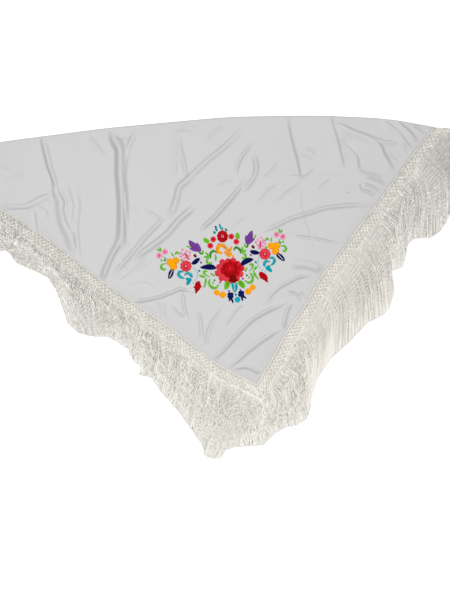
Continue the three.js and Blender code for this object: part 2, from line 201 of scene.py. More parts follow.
# %% The tall fold left of the middle, forked at its top
CREASES += [
    ("post", 25, 17, 7.0, [
        (-42.9, 78), (-42.9, 74.1), (-41.2, 70.5), (-41, 67.2), (-41, 62.7), (-40.4, 55.2),
        (-40.4, 48.6), (-40.8, 43.2), (-42.3, 38.7),
    ]),
    ("post foot", 13, 15, 4.4, [
        (-40.8, 47.4), (-41.3, 42.6), (-43.1, 39), (-44.7, 35.4), (-46.1, 31.8), (-47.7, 28.8),
    ]),
    ("post right fork", 14, 8, 2.6, [
        (-35.1, 77.6), (-36.9, 74.7), (-38.3, 71.7), (-38.9, 69.3), (-39.5, 66),
        (-39.7, 63), (-39.6, 60),
    ]),
    ("post bridge", 5, 5, -1.1, [(-43.2, 75.5), (-40, 73.7), (-37.2, 74.6)]),
    ("post right line", 5, 5, -2.2, [
        (-40, 59.4), (-39.9, 55.2), (-39.4, 50.4), (-39, 44.4), (-38.9, 38.4),
    ]),
    ("post inner line", 5, 5, -1.2, [(-40.5, 41.7), (-42.8, 38.1), (-44.6, 33.9), (-45.2, 30.9)]),
    ("post toe", 5, 5, -1.2, [(-40.1, 38.4), (-39.8, 35.4), (-38.6, 33.6)]),
]

# %% The rays that run down to the left from the top
CREASES += [
    ("first ray", 14, 10, 2.5, [
        (-2.1, 79.8), (-4.8, 76.2), (-9.6, 71.4), (-14.6, 67.4), (-18.3, 63.9), (-21.9, 60.6),
        (-23.3, 59.1), (-24, 56.1), (-25.2, 52.8), (-26.7, 50.1),
    ]),
    ("first ray knee", 17, 12, 3.0, [
        (-17.4, 64.5), (-21, 61.2), (-23.1, 59.4), (-24, 56.1), (-25.2, 52.5), (-27, 50.1),
    ]),
    ("first ray foot", 10, 9, 2.7, [
        (-26.1, 51.9), (-29.1, 48.6), (-32.6, 45), (-35.7, 41.4), (-38.4, 38.1), (-41.3, 34.8),
        (-43.5, 31.5),
    ]),
    ("low veil", 6, 6, -1.4, [(-31.8, 39), (-37.3, 33.6), (-41.9, 30.3)]),
    ("soft cheek", 6, 6, -1.3, [(-34.9, 52.8), (-30.3, 50.5), (-27.1, 48.2)]),
    ("soft chin", 9, 9, -0.8, [(-37.6, 54.6), (-36.6, 51.8), (-35.3, 49.2)]),
    ("second ray", 17, 10, 3.6, [
        (-17.7, 54.9), (-20.1, 52.4), (-23.5, 49.3), (-27, 45.3), (-31.1, 42), (-34.8, 39.3),
        (-37.2, 36.6),
    ]),
    ("third ray", 11, 7, 3.3, [
        (-1.2, 63.9), (-5.7, 58.4), (-9.2, 54.2), (-12.6, 50.4), (-15.3, 47.9), (-17.7, 45.3),
    ]),
    ("third ray head", 14, 6, 2.9, [
        (-1.5, 70.2), (-0.6, 67.2), (-0.3, 65.4), (-0.8, 62.7), (-3, 59.4), (-4.8, 57.6),
    ]),
    ("high slip left", 5, 5, -1.8, [(-24.5, 75.3), (-24.3, 68.4), (-24.5, 60)]),
    ("high slip right", 5, 5, -1.2, [(-23.4, 73.5), (-23.1, 70.2), (-23.4, 66)]),
    ("high slip side", 7, 7, -2.2, [(-23.6, 76), (-22.9, 71.5), (-22.1, 68), (-21.3, 64), (-20.9, 61.5)]),
    ("hem fold one", 5, 5, -1.4, [(-25.8, 75.5), (-21.7, 76.4), (-19.3, 76)]),
    ("hem fold two", 6, 6, -1.6, [(-16, 72.5), (-12.5, 75.7), (-9.5, 78)]),
    ("hem fold three", 5, 5, -1.1, [(-21.7, 78.3), (-19.5, 77.2), (-17.3, 77.9)]),
    ("high nick", 5, 5, -1.0, [(-24, 80), (-20.6, 77), (-18.4, 74.6)]),
    ("middle slip", 8, 8, 2.2, [(-0.9, 73.8), (-3, 70.5), (-4.8, 67.8), (-5.6, 65.7), (-6.5, 62.4)]),
    ("middle slip line", 5, 5, -1.5, [(-3, 69.3), (-4.7, 66.3), (-5.7, 61.8)]),
    ("middle slip thin", 5, 5, -1.0, [(0, 74.5), (-2.4, 72.1), (-4.4, 69.5), (-5.6, 66.9)]),
    ("small pair one", 5, 5, -1.1, [(-15.1, 58.3), (-15.1, 54.6), (-14.6, 51)]),
    ("small pair two", 5, 5, -0.9, [(-14, 57.6), (-14.1, 55), (-14, 52.8)]),
    ("small pair top", 5, 5, -1.2, [(-12.6, 59.1), (-9.3, 60.6), (-6.3, 61.5)]),
    ("low soft ray", 6, 6, -0.9, [(-1.8, 50.5), (-5.5, 48.2), (-7.3, 45.9)]),
    ("pressed row left", 4, 4, -0.6, [(-35.8, 59.9), (-30, 59.9), (-24.8, 59.7)]),
    ("pressed row right", 4, 4, -0.8, [(5.4, 62.6), (13.5, 62.3), (21, 62.9), (31.8, 62.9)]),
]
print(len(CREASES), "creases so far")

# %% The creases of the right half, above the spray
CREASES += [
    ("pressed line", 9, 28, 2.9, [
        (8.4, 84), (9.6, 75.9), (10.7, 71.1), (11.6, 67.8), (12.5, 63.6), (13.2, 60),
    ]),
    ("pressed line foot", 5, 5, -1.3, [
        (13.2, 60.6), (13.8, 55.5), (14.3, 51.6), (15.6, 47.4), (17.1, 43.2), (18.6, 38.1),
    ]),
    ("right slip", 8, 24, 2.3, [(21.3, 82.8), (22.6, 77.9), (24.1, 72.7), (25.3, 67.8), (26.3, 63.9)]),
    ("right slip shade", 20, 20, -1.6, [(26.4, 74.7), (27.9, 70.8), (28.8, 67.2)]),
    ("hip slip", 7, 14, 2.2, [(26.1, 72.3), (28.7, 69.6), (30, 67.7), (30.2, 65.7), (31.4, 63.2)]),
    ("right bow", 7, 26, 2.8, [
        (21.6, 78.8), (25.5, 77.7), (29.3, 75.9), (34.1, 74.1), (37, 71.7), (38.2, 68.9),
        (40.1, 65.7), (41.1, 63),
    ]),
    ("right bow branch", 5, 12, 1.8, [(34.4, 74.4), (38.1, 73), (42.9, 72.4)]),
    ("tip bow one", 5, 16, 2.3, [
        (37.5, 79.5), (40.2, 77.6), (42.8, 75.5), (44.3, 73.2), (47.1, 70.1),
    ]),
    ("tip bow two", 6, 20, 2.6, [
        (41.1, 80.1), (43.4, 77.7), (44.9, 76.5), (46.5, 74.9), (48.6, 72.2),
    ]),
    ("tip bow crest", 7, 7, 1.2, [(39, 79.8), (42, 77.3), (43.8, 75.6), (45.9, 73.5)]),
    ("tip nick", 6, 6, -1.7, [(47.1, 77.9), (49.2, 76.7), (51.3, 75.2)]),
    ("tip fan one", 5, 5, -1.4, [(42.9, 75), (43.8, 72.9), (45, 70.5), (45.6, 68.7)]),
    ("tip fan two", 5, 5, -1.2, [(38.1, 68.4), (40.5, 68.7), (43.5, 66.6)]),
    ("cluster one", 5, 5, -2.4, [(32.6, 62.6), (36.8, 61.1), (39.3, 59.5)]),
    ("cluster four", 5, 5, -1.8, [(31, 64.2), (33.4, 63.4), (36.6, 62.6), (38.8, 61.4)]),
    ("cluster two", 5, 5, -2.2, [(31.9, 60.4), (35, 59.2), (38.1, 57.4)]),
    ("cluster three", 6, 6, -2.2, [(31.4, 61.2), (31.8, 58.5), (34.2, 57.5), (36.3, 55.8)]),
    ("long bow", 12, 6, 2.2, [
        (38.7, 54.3), (31.8, 54.1), (25.2, 53.7), (20.7, 53.1), (15.3, 51.5), (10.2, 49.9),
        (6, 47.9), (2.4, 46.5), (-0.3, 45.6),
    ]),
    ("soft one", 7, 7, -1.6, [(6.8, 60.1), (3.2, 57.4), (0.1, 53.1)]),
    ("soft two", 7, 7, -1.6, [(13.5, 60.4), (9.3, 57.4), (6.2, 54.3)]),
    ("soft three", 6, 6, -1.6, [(18.5, 65.4), (15.4, 62.6), (13.5, 61.7)]),
    ("soft four", 7, 7, -1.6, [(7.4, 67.8), (4.4, 63.5), (1.9, 62.3)]),
    ("soft five", 6, 6, -1.4, [(22.7, 61.7), (20.4, 60), (18.5, 58)]),
    ("soft six", 6, 6, -1.4, [(14.7, 71.2), (16.6, 70.2), (18.5, 69)]),
    ("soft seven", 5, 5, -1.2, [(13.5, 69), (15.7, 68.3), (17.9, 67.5)]),
]

# %% The creases of the right half, below the long bow
CREASES += [
    ("hip line", 6, 6, -1.7, [(9.9, 44.8), (15.4, 43.9), (19.7, 43.3), (25.8, 41.5)]),
    ("hip", 20, 20, 2.8, [(9.3, 36.3), (13.2, 36.2), (16.8, 35.6), (20.4, 33.9)]),
    ("low bow", 6, 8, 2.3, [
        (3, 23.7), (3.9, 26.4), (6.3, 28.9), (10.1, 31.1), (13.2, 32.4), (18, 32.9),
    ]),
    ("low nick one", 6, 6, -2.4, [(9.3, 27.9), (12.3, 26.7), (14.4, 24.3)]),
    ("low nick two", 6, 6, -2.2, [(13.2, 27.9), (14.1, 26.1), (14.7, 24.3)]),
    ("right dip", 7, 7, 3, [(10.8, 25.2), (9.2, 22.2), (8.4, 19.2), (8, 16.2)]),
]

# %% The creases at the fringed corner and left of it
CREASES += [
    ("corner ray", 11, 7, 2.8, [
        (11.1, 26.1), (6.3, 23.7), (1.8, 21.5), (-2.1, 19), (-5.4, 15.6), (-9.3, 11.3),
        (-12.9, 7.7), (-14.7, 5.7),
    ]),
    ("lower ray", 11, 10, 2.6, [(7.8, 17.4), (3.6, 14.7), (-1.2, 11.3), (-5.4, 7.7), (-8.4, 4.8)]),
    ("corner tuck", 10, 7, 2.4, [(-7.2, 4.8), (-3.3, 5.3), (-0.3, 4.2), (0.9, 3)]),
    ("low sill", 6, 8, 2.6, [
        (-41.4, 24.6), (-37.2, 24.8), (-33, 25.5), (-28.8, 26.4), (-25.2, 27.8), (-23.1, 28.7),
        (-21, 28.4), (-18.9, 28.4),
    ]),
    ("low sill top", 6, 6, -0.8, [(-39.5, 28.9), (-33.5, 30.3), (-29.3, 27.6)]),
    ("low upper line", 6, 6, -0.9, [(-40.8, 30.3), (-35.4, 33.9), (-31.2, 36.3)]),
    ("low nook", 5, 5, -1.4, [(-19.4, 26.4), (-18.4, 27.6), (-17.3, 28.7)]),
    ("low drop one", 6, 6, -2.5, [(-22.5, 28.2), (-21.9, 25.2), (-21.5, 22.2), (-20.4, 18.6)]),
    ("low drop two", 6, 6, -1.8, [(-25.6, 23.7), (-23.7, 21.3), (-21, 19.4)]),
    ("low drop three", 6, 6, -2.4, [(-17.3, 22.2), (-16.7, 17.7), (-16.4, 12.3)]),
    ("low drop four", 7, 8, -2.2, [
        (-9.6, 23.7), (-12.1, 20.1), (-13.9, 17), (-14.9, 13.2), (-15.2, 9.6),
    ]),
    ("low drop five", 7, 7, -1.8, [(-3.6, 24), (-6.6, 20.7), (-9, 16.4)]),
    ("low drop six", 5, 5, -1.8, [(-29.2, 24.9), (-29.3, 22.8), (-29.3, 20.7)]),
    ("low drop seven", 5, 5, -1.8, [(-28, 24.6), (-27.8, 22), (-27.4, 19.2)]),
    # one fold more, on the far left end
    ("far left post", 12, 12, 3.0, [(-93, 76), (-91, 70), (-90.2, 64)]),
]
print(len(CREASES), "creases")

# %% [markdown]
# A crease is a soft ridge: highest on its path, gone at its spread, and dying away towards its
# two ends. Where ridges cross, the taller one rules, as in real cloth, so their heights are
# blended by a power instead of being added. Troughs are blended in the same way.

# %% Heights from the creases
STEP = 6 * MM  # between the points of a smoothed path
END_SHARE = 0.24  # the share of a crease over which each of its ends dies away
BLEND = 3  # the power by which crossing creases are blended
PATH_STEPS = 8  # the fewest in a path


def smoothstep(t):
    """A soft step from 0 to 1."""
    t = np.clip(t, 0, 1)
    return t * t * (3 - 2 * t)


def smoothed_path(points, step):
    """A smooth curve through given points, cut into steps of about equal length."""
    points = np.asarray(points, float)
    count = max(PATH_STEPS, int(np.linalg.norm(np.diff(points, axis=0), axis=1).sum() / step))
    return smooth_run(points, np.linspace(0, 1, count + 1))


def crease_profile(points, crease):
    """How strongly one crease works at each point, from 0 to 1."""
    _, spread_left, spread_right, _, path = crease
    path = smoothed_path(np.array(path) * CM, STEP)
    spread = max(spread_left, spread_right) * MM
    near = np.all((points > path.min(0) - spread) & (points < path.max(0) + spread), axis=1)
    work = np.zeros(len(points))
    if not near.any():
        return work
    p = points[near][:, None, :]
    start, run = path[:-1], np.diff(path, axis=0)
    t = np.clip(((p - start) * run).sum(2) / (run**2).sum(1), 0, 1)
    away = p - (start + t[..., None] * run)
    distance = np.linalg.norm(away, axis=2)
    best = distance.argmin(axis=1)
    rows = np.arange(len(best))
    left_of_path = run[best, 0] * away[rows, best, 1] - run[best, 1] * away[rows, best, 0] > 0
    width = np.where(left_of_path, spread_left, spread_right) * MM
    across = np.clip(1 - (distance[rows, best] / width) ** 2, 0, 1) ** 2
    share = (best + t[rows, best]) / len(run)
    work[near] = across * smoothstep(share / END_SHARE) * smoothstep((1 - share) / END_SHARE)
    return work


def crease_heights(points):
    """How far the ridges rise and the troughs fall at each point."""
    ridges, troughs = np.zeros(len(points)), np.zeros(len(points))
    for crease in CREASES:
        rise = crease[3] * MM * crease_profile(points, crease)
        if crease[3] > 0:
            ridges += rise**BLEND
        else:
            troughs += (-rise) ** BLEND
    return ridges ** (1 / BLEND), troughs ** (1 / BLEND)


# %% [markdown]
# The cloth is one triangular sheet. Its points form a triangular lattice that runs from the
# fringed corner to the bare top edge, so its three sides are exact. Two skins, an upper and a
# lower one, are joined around the rim, which makes a thin closed sheet like the real cloth. A
# plane with a Solidify modifier would need its outline cut, and its rim would be ragged.

# %% The cloth's lattice
CLOTH_ROWS = 306
CLOTH_THICK = 0.9 * MM
REST_LIFT = 0.4 * MM  # air under the lowest troughs
BASE_LIFT = 1.5 * MM  # how high the level cloth lies over them
TOP_BOW = {"share": (0, 0.15, 0.36, 0.6, 0.77, 0.91, 1), "rise": (0, 25, 50, 64, 54, 33, 0)}
BOW_POWER = 4  # how quickly the top edge's bow dies away below it
BOW_EASINGS = 60  # how often the bow's outline is smoothed
EDGE_FADE = 22 * MM  # how far from the fringed edges the creases are held back
CREASE_AT_EDGE = 0.25  # the share of a crease that is left at those edges
SWELL_AT_EDGE = 0.4
CLOTH_DEPTH = 0.75  # metres from the bare top edge down to the fringed corner
HEM_WIDTH = 5 * MM
HEM_RISE = 0.9 * MM


def top_bow(share):
    """How far the bare top edge bows out, at shares of it from left to right."""
    at, rise = np.array(TOP_BOW["share"]), np.array(TOP_BOW["rise"]) * MM
    fine = np.linspace(0, 1, 201)
    bow = np.interp(fine, at, rise)
    for _ in range(BOW_EASINGS):
        bow[1:-1] = (bow[:-2] + 2 * bow[1:-1] + bow[2:]) / 4
    return np.interp(share, fine, bow)


def lattice_index(row, place):
    """The number of a lattice point, counted row by row from the corner."""
    return row * (row + 1) // 2 + place


row_of = np.concatenate([np.full(j + 1, j) for j in range(CLOTH_ROWS + 1)])
place_of = np.concatenate([np.arange(j + 1) for j in range(CLOTH_ROWS + 1)])
depth_share = row_of / CLOTH_ROWS
cross_share = place_of / np.maximum(row_of, 1)
left_end = edge_points("left", depth_share)
right_end = edge_points("right", depth_share)
cloth_plan = left_end + cross_share[:, None] * (right_end - left_end)
cloth_plan[:, 1] += top_bow(cross_share) * depth_share**BOW_POWER
print(len(cloth_plan), "lattice points")

# %% [markdown]
# Between its creases the cloth isn't dead flat: it lifts by a fraction of a millimetre in long
# soft swells. A few sine waves in odd directions give that, with nothing random.

# %% The cloth's heights
SWELLS = [
    # wave length in metres, direction in degrees, phase, height in millimetres
    (0.23, 20, 0.4, 0.55),
    (0.17, 75, 2.1, 0.45),
    (0.13, 128, 4.0, 0.35),
    (0.085, 52, 1.3, 0.18),
    (0.06, 160, 5.2, 0.10),
]


def swell_heights(points):
    """How far the soft swells lift the cloth."""
    total = np.zeros(len(points))
    for length, degrees, phase, height in SWELLS:
        way = np.array((math.cos(math.radians(degrees)), math.sin(math.radians(degrees))))
        total += height * MM * (1 + np.sin(2 * math.pi * (points @ way) / length + phase)) / 2
    return total


ridges, troughs = crease_heights(cloth_plan)
swells = swell_heights(cloth_plan)
from_left = place_of / CLOTH_ROWS * EDGE_LENGTH["right"]
from_right = (row_of - place_of) / CLOTH_ROWS * EDGE_LENGTH["left"]
from_top = (1 - depth_share) * CLOTH_DEPTH
edge_share = smoothstep(np.minimum(from_left, from_right) / EDGE_FADE)
hem = HEM_RISE * (1 - smoothstep(from_top / HEM_WIDTH))
creased = (ridges - troughs) * (CREASE_AT_EDGE + (1 - CREASE_AT_EDGE) * edge_share)
swelled = swells * (SWELL_AT_EDGE + (1 - SWELL_AT_EDGE) * edge_share)
relief = creased + swelled + BASE_LIFT + hem
cloth_height = REST_LIFT + np.maximum(relief, 0)
print("cloth height, mm", (cloth_height.min() / MM).round(2), (cloth_height.max() / MM).round(2))


def cloth_height_at(plan):
    """The height of the cloth's upper skin at any plan points inside it."""
    ridge, trough = crease_heights(plan)
    relief = np.maximum(ridge - trough + swell_heights(plan) + BASE_LIFT, 0)
    return REST_LIFT + relief + CLOTH_THICK


# %% The cloth's mesh
def placed(name, data):
    """A new object at the origin for a mesh, a lamp or a camera."""
    piece = bpy.data.objects.new(name, data)
    bpy.context.scene.collection.objects.link(piece)
    return piece


def mesh_object(name, points, faces, smooth=True):
    """A new object at the origin with the given points and faces."""
    mesh = bpy.data.meshes.new(name)
    mesh.from_pydata([tuple(p) for p in points], [], [tuple(int(i) for i in f) for f in faces])
    mesh.validate()
    mesh.update()
    shade = mesh.shade_smooth if smooth else mesh.shade_flat
    shade()
    return placed(name, mesh)


def lattice_faces():
    """The upper skin's triangles, turned so that they face up."""
    faces = []
    for j in range(CLOTH_ROWS):
        here, next_row = lattice_index(j, 0), lattice_index(j + 1, 0)
        i = np.arange(j + 1)
        faces.append(np.column_stack([here + i, next_row + i + 1, next_row + i]))
        i = np.arange(j)
        faces.append(np.column_stack([here + i, here + i + 1, next_row + i + 1]))
    return np.vstack(faces)


def rim_loop():
    """The numbers of the points round the rim, clockwise from the corner."""
    rows = range(CLOTH_ROWS)
    left_side = [lattice_index(j, 0) for j in rows]
    top_side = [lattice_index(CLOTH_ROWS, i) for i in range(CLOTH_ROWS)]
    right_side = [lattice_index(j, j) for j in range(CLOTH_ROWS, 0, -1)]
    return np.array(left_side + top_side + right_side)


def build_cloth():
    """Two skins and the narrow wall between them."""
    count = len(cloth_plan)
    upper = in_frame(cloth_plan, cloth_height + CLOTH_THICK)
    lower = in_frame(cloth_plan, cloth_height)
    skin = lattice_faces()
    rim = rim_loop()
    after = np.roll(rim, -1)
    wall = np.vstack([
        np.column_stack([rim, after, after + count]),
        np.column_stack([rim, after + count, rim + count]),
    ])
    faces = np.vstack([skin, skin[:, ::-1] + count, wall])
    return mesh_object("silk_cloth", np.vstack([upper, lower]), faces)


silk = build_cloth()
print("cloth triangles", len(silk.data.polygons))

# %% [markdown]
# The cloth is a satin: smooth yarns float over its face, so it shines softly where it lies level and
# darkens on every slope. A sheen or a clear coat could give that too, but a Principled BSDF with a middling
# roughness under one big soft light comes closest to the photograph. A node group gives the fine weave, and
# slow noise the faint unevenness of a worn white cloth. A long gradient paints shade into the colour: the
# cloth is greyer towards the top right and paler towards the fringed corner. One small brown speck is kept.

# %% Helpers for node trees
NODES_IN_ROW = 12


def add_node(tree, kind, **settings):
    """A new node with its settings; nodes are set out in rows in the order they are made."""
    node = tree.nodes.new(kind)
    row, column = divmod(len(tree.nodes) - 1, NODES_IN_ROW)
    node.location = (column * 220, -row * 320)
    for name, value in settings.items():
        setattr(node, name, value)
    return node


def feed(tree, value, socket):
    """Give a socket the output of another node, or a plain value."""
    if isinstance(value, bpy.types.NodeSocket):
        tree.links.new(value, socket)
    else:
        socket.default_value = value


def wire(tree, *pairs):
    """Feed the first of each pair to the second."""
    for value, socket in pairs:
        feed(tree, value, socket)


def new_group(name, inputs, outputs, kind="ShaderNodeTree"):
    """A node group with named inputs, each with its value, and named outputs."""
    group = bpy.data.node_groups.new(name, kind)
    for label, socket, value in inputs:
        made = group.interface.new_socket(label, in_out="INPUT", socket_type=socket)
        if value is not None:
            made.default_value = value
    for label, socket in outputs:
        group.interface.new_socket(label, in_out="OUTPUT", socket_type=socket)
    return group, add_node(group, "NodeGroupInput"), add_node(group, "NodeGroupOutput")


def new_material(name, color, roughness, **sockets):
    """A material of one Principled BSDF with plain values on its sockets."""
    material = bpy.data.materials.new(name)
    material.use_nodes = True
    tree = material.node_tree
    shader = tree.nodes["Principled BSDF"]
    shader.inputs["Base Color"].default_value = (*color, 1)
    shader.inputs["Roughness"].default_value = roughness
    for label, value in sockets.items():
        shader.inputs[label.replace("_", " ")].default_value = value
    return material, tree, shader


# %% Helpers for sums, vectors, ramps, noise and colours
def math_node(tree, operation, *values):
    """A Math node fed with sockets or plain numbers. Gives its output."""
    node = add_node(tree, "ShaderNodeMath", operation=operation)
    wire(tree, *zip(values, node.inputs))
    return node.outputs[0]


def vector_node(tree, operation, *values):
    """A Vector Math node fed with sockets, triples or, for a scale, a number."""
    node = add_node(tree, "ShaderNodeVectorMath", operation=operation)
    sockets = [node.inputs[0], node.inputs["Scale"]] if operation == "SCALE" else node.inputs
    wire(tree, *zip(values, sockets))
    gives_number = operation in ("LENGTH", "DISTANCE", "DOT_PRODUCT")
    return node.outputs["Value" if gives_number else "Vector"]


def combined(tree, x=0.0, y=0.0, z=0.0):
    """A vector of three sockets or numbers."""
    node = add_node(tree, "ShaderNodeCombineXYZ")
    wire(tree, *zip((x, y, z), node.inputs))
    return node.outputs[0]


def separated(tree, vector):
    """The three numbers of a vector."""
    node = add_node(tree, "ShaderNodeSeparateXYZ")
    wire(tree, (vector, node.inputs[0]))
    return tuple(node.outputs)


def ramp(tree, value, low, high):
    """How far a value has come from one end to the other, from 0 to 1."""
    node = add_node(tree, "ShaderNodeMapRange")
    ends = (low, node.inputs["From Min"]), (high, node.inputs["From Max"])
    wire(tree, (value, node.inputs["Value"]), *ends)
    return node.outputs["Result"]


def noise(tree, position, scale, detail):
    """Noise at a position: its value and its colour, both around one half."""
    node = add_node(tree, "ShaderNodeTexNoise")
    wire(
        tree,
        (position, node.inputs["Vector"]),
        (scale, node.inputs["Scale"]),
        (detail, node.inputs["Detail"]),
    )
    return node.outputs["Fac"], node.outputs["Color"]


def mix_colors(tree, mask, below, above, blend_type="MIX"):
    """A Mix node: below where the mask is 0, above where it is 1."""
    node = add_node(tree, "ShaderNodeMix", data_type="RGBA", blend_type=blend_type)
    feed(tree, mask, node.inputs[0])
    for color, socket in ((below, node.inputs[6]), (above, node.inputs[7])):
        feed(tree, color if isinstance(color, bpy.types.NodeSocket) else (*color, 1), socket)
    return node.outputs[2]


# %% The weave, a node group
WAVES_AT_SCALE_ONE = 10 / math.pi  # how many waves a Wave Texture makes in a metre


def build_weave_group():
    """Two sets of fine threads that cross, as a height from 0 to 1."""
    group, start, end = new_group(
        "fine weave",
        [
            ("Coordinates", "NodeSocketVector", None),
            ("Threads per metre", "NodeSocketFloat", 300.0),
            ("Turn", "NodeSocketFloat", 0.0),
        ],
        [("Height", "NodeSocketFloat")],
    )
    turn = add_node(group, "ShaderNodeVectorRotate", rotation_type="Z_AXIS")
    wire(
        group,
        (start.outputs["Coordinates"], turn.inputs["Vector"]),
        (start.outputs["Turn"], turn.inputs["Angle"]),
    )
    scale = math_node(group, "DIVIDE", start.outputs["Threads per metre"], WAVES_AT_SCALE_ONE)
    threads = []
    for way in ("X", "Y"):
        wave = add_node(group, "ShaderNodeTexWave", bands_direction=way)
        wire(group, (turn.outputs["Vector"], wave.inputs["Vector"]), (scale, wave.inputs["Scale"]))
        threads.append(wave.outputs["Fac"])
    wire(group, (math_node(group, "MAXIMUM", *threads), end.inputs["Height"]))
    return group


weave_group = build_weave_group()
print("group", weave_group.name)

# %% The cloth's material
# Painted shade: the cloth's colour turns from the light grey below to the darker grey towards the top
# right.
CLOTH_SHADED_GREY = (0.400, 0.401, 0.405)  # towards the top right
CLOTH_LIGHT = (0.468, 0.469, 0.471)  # towards the fringed corner and the left
CLOTH_WARM = (0.446, 0.440, 0.430)
CLOTH_ROUGHNESS = 0.40
WARM_SHARE = 0.4  # the most that the mottle adds of the warm grey
PALE_WAY = (-0.35, -0.94, 0)
PALE_FROM = -0.45  # how far along that way the cloth starts to turn paler, in metres
PALE_TO = 0.35
CLOTH_THREADS = 445.6  # in a metre; the real ones are far finer than a picture can show
WEAVE_DEPTH = 0.06 * MM
WEAVE_STRENGTH = 0.25
SPECK_PLACE = (0.273, 0.576)  # a small brown speck on the right half, in plan metres
SPECK_RADIUS = 3.5 * MM
SPECK_BROWN = (0.22, 0.18, 0.13)
SMUDGE_RADIUS = 10 * MM
SMUDGE_GREY = (0.41, 0.405, 0.39)
SPOT_CORE = 0.2  # the share of a spot's radius that has its full colour


def spot_mask(tree, coords, radius):
    """1 in the middle of the speck and 0 outside a radius round it, with a soft rim."""
    away = vector_node(tree, "SUBTRACT", coords, in_frame([SPECK_PLACE], 0)[0])
    away = vector_node(tree, "MULTIPLY", away, (1, 1, 0))
    return ramp(tree, vector_node(tree, "LENGTH", away), radius, radius * SPOT_CORE)


def cloth_color(tree, coords):
    """The gradient of painted shade, the warm mottle, and the speck with the smudge round it."""
    pale = ramp(tree, vector_node(tree, "DOT_PRODUCT", coords, PALE_WAY), PALE_FROM, PALE_TO)
    color = mix_colors(tree, pale, CLOTH_SHADED_GREY, CLOTH_LIGHT)
    mottle, _ = noise(tree, coords, 9, 3)
    color = mix_colors(tree, math_node(tree, "MULTIPLY", mottle, WARM_SHARE), color, CLOTH_WARM)
    color = mix_colors(tree, spot_mask(tree, coords, SMUDGE_RADIUS), color, SMUDGE_GREY)
    return mix_colors(tree, spot_mask(tree, coords, SPECK_RADIUS), color, SPECK_BROWN)


def build_cloth_material():
    """Satin with its own colour and the weave as a fine bump."""
    material, tree, shader = new_material(
        "pale satin", CLOTH_LIGHT, CLOTH_ROUGHNESS, Specular_IOR_Level=0.5
    )
    coords = add_node(tree, "ShaderNodeTexCoord").outputs["Object"]
    weave = add_node(tree, "ShaderNodeGroup", node_tree=weave_group)
    bump = add_node(tree, "ShaderNodeBump")
    wire(
        tree,
        (cloth_color(tree, coords), shader.inputs["Base Color"]),
        (coords, weave.inputs["Coordinates"]),
        (CLOTH_THREADS, weave.inputs["Threads per metre"]),
        (weave.outputs["Height"], bump.inputs["Height"]),
        (WEAVE_STRENGTH, bump.inputs["Strength"]),
        (WEAVE_DEPTH, bump.inputs["Distance"]),
        (bump.outputs["Normal"], shader.inputs["Normal"]),
    )
    return material


cloth_material = build_cloth_material()
silk.data.materials.append(cloth_material)
print("material", cloth_material.name)

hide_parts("cloth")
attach(silk, "root")

# %% [markdown]
# The fringe is long crinkled yarn, tied into the net's last row of knots. On the right it leaves
# the net squarely and then hangs straight down the picture; on the left it was swept along the
# net and lies in a tumbled heap. A table says where the ends of the yarns lie, seen from their
# roots: how far along the edge (left of the corner is below zero), then right and down in
# millimetres, how much they bow sideways, and how tangled they are. A simulation of falling
# yarn could make such a fringe, but not one that lies as this one does.

# %% Where the yarns lie
ROOT_OUT = 31.5 * MM  # where the yarns leave the net, out from the cloth
LAY_OUT = 47.3 * MM  # where the table's measures start
FRINGE_LAY = np.array([
    # along, right, down, bow, tangle
    (-1223, -13, 161, 0, 0.6), (-1100, 15, 155, 4, 0.8), (-1000, 68, 131, 8, 1.0),
    (-900, 88, 119, 10, 1.0), (-800, 87, 120, 12, 0.8), (-720, 43, 132, 16, 0.5),
    (-650, 14, 157, 22, 0.4), (-590, 11, 153, 26, 0.5), (-520, 20, 121, 26, 0.6),
    (-450, 16, 118, 26, 0.6), (-370, -7, 148, 30, 0.5), (-330, -3, 138, 34, 0.5),
    (-270, -15, 155, 40, 0.5), (-210, -25, 170, 44, 0.5), (-150, -37, 187, 46, 0.4),
    (-100, -45, 205, 44, 0.4), (-60, -51, 184, 40, 0.4), (-30, -51, 141, 30, 0.5),
    (0, -33, 121, 14, 0.7), (30, -8, 141, 6, 0.9), (60, 19, 141, 4, 0.9), (94, 42, 172, 4, 0.8),
    (130, 50, 179, 6, 0.5), (170, 40, 168, 6, 0.2), (220, 21, 172, 8, 0.0),
    (320, 14, 167, 8, 0.0), (380, 31, 181, 6, 0.0), (490, 59, 192, 4, 0.0),
    (590, 55, 209, 2, 0.1), (640, 28, 209, 0, 0.4), (680, 8, 208, 0, 0.7),
    (740, 5, 178, 0, 0.3), (780, 21, 184, 0, 0.1), (830, 39, 208, 0, 0.0),
    (938, 68, 201, 0, 0.0),
], float)
PHOTO_PIXEL = 3.0 * MM  # the size of one pixel of the photograph on the shawl
PHOTO_CORNER = np.array((256, 384))  # the pixel of the fringed corner
FRINGE_OUTLINE = [  # the pixels round the ends of the fringe, from left to right
    (1, 250), (8, 249), (17, 262), (30, 268), (50, 277), (57, 290), (64, 310), (68, 323),
    (80, 333), (95, 336), (108, 336), (128, 348), (133, 360), (140, 365), (139, 374),
    (152, 377), (160, 390), (180, 413), (190, 427), (202, 444), (205, 455), (212, 457.5), (219, 457),
    (225, 449), (235, 446), (262, 444), (274, 433), (283, 427), (296, 424), (306, 418),
    (310, 405), (310, 397), (317, 377), (330, 358), (350, 340), (367, 322), (383, 314),
    (389, 306), (392, 296), (395, 286), (391, 270), (402, 266), (405, 255), (407, 243),
    (415, 238), (430, 237), (439, 231), (445, 223), (449, 214),
]
UNSEEN = {"left": np.linspace(1, 0.72, 8), "right": np.linspace(0.9, 1, 3)}  # shares of the edges
AROUND = {"left": -1.6, "right": 1.2, "top": 1.2}  # a box round the whole shawl, in plan metres


def from_pixels(pixels):
    """Plan points in metres for pixels of the photograph."""
    right_down = (np.asarray(pixels, float) - PHOTO_CORNER) * PHOTO_PIXEL
    return right_down * (1, -1)


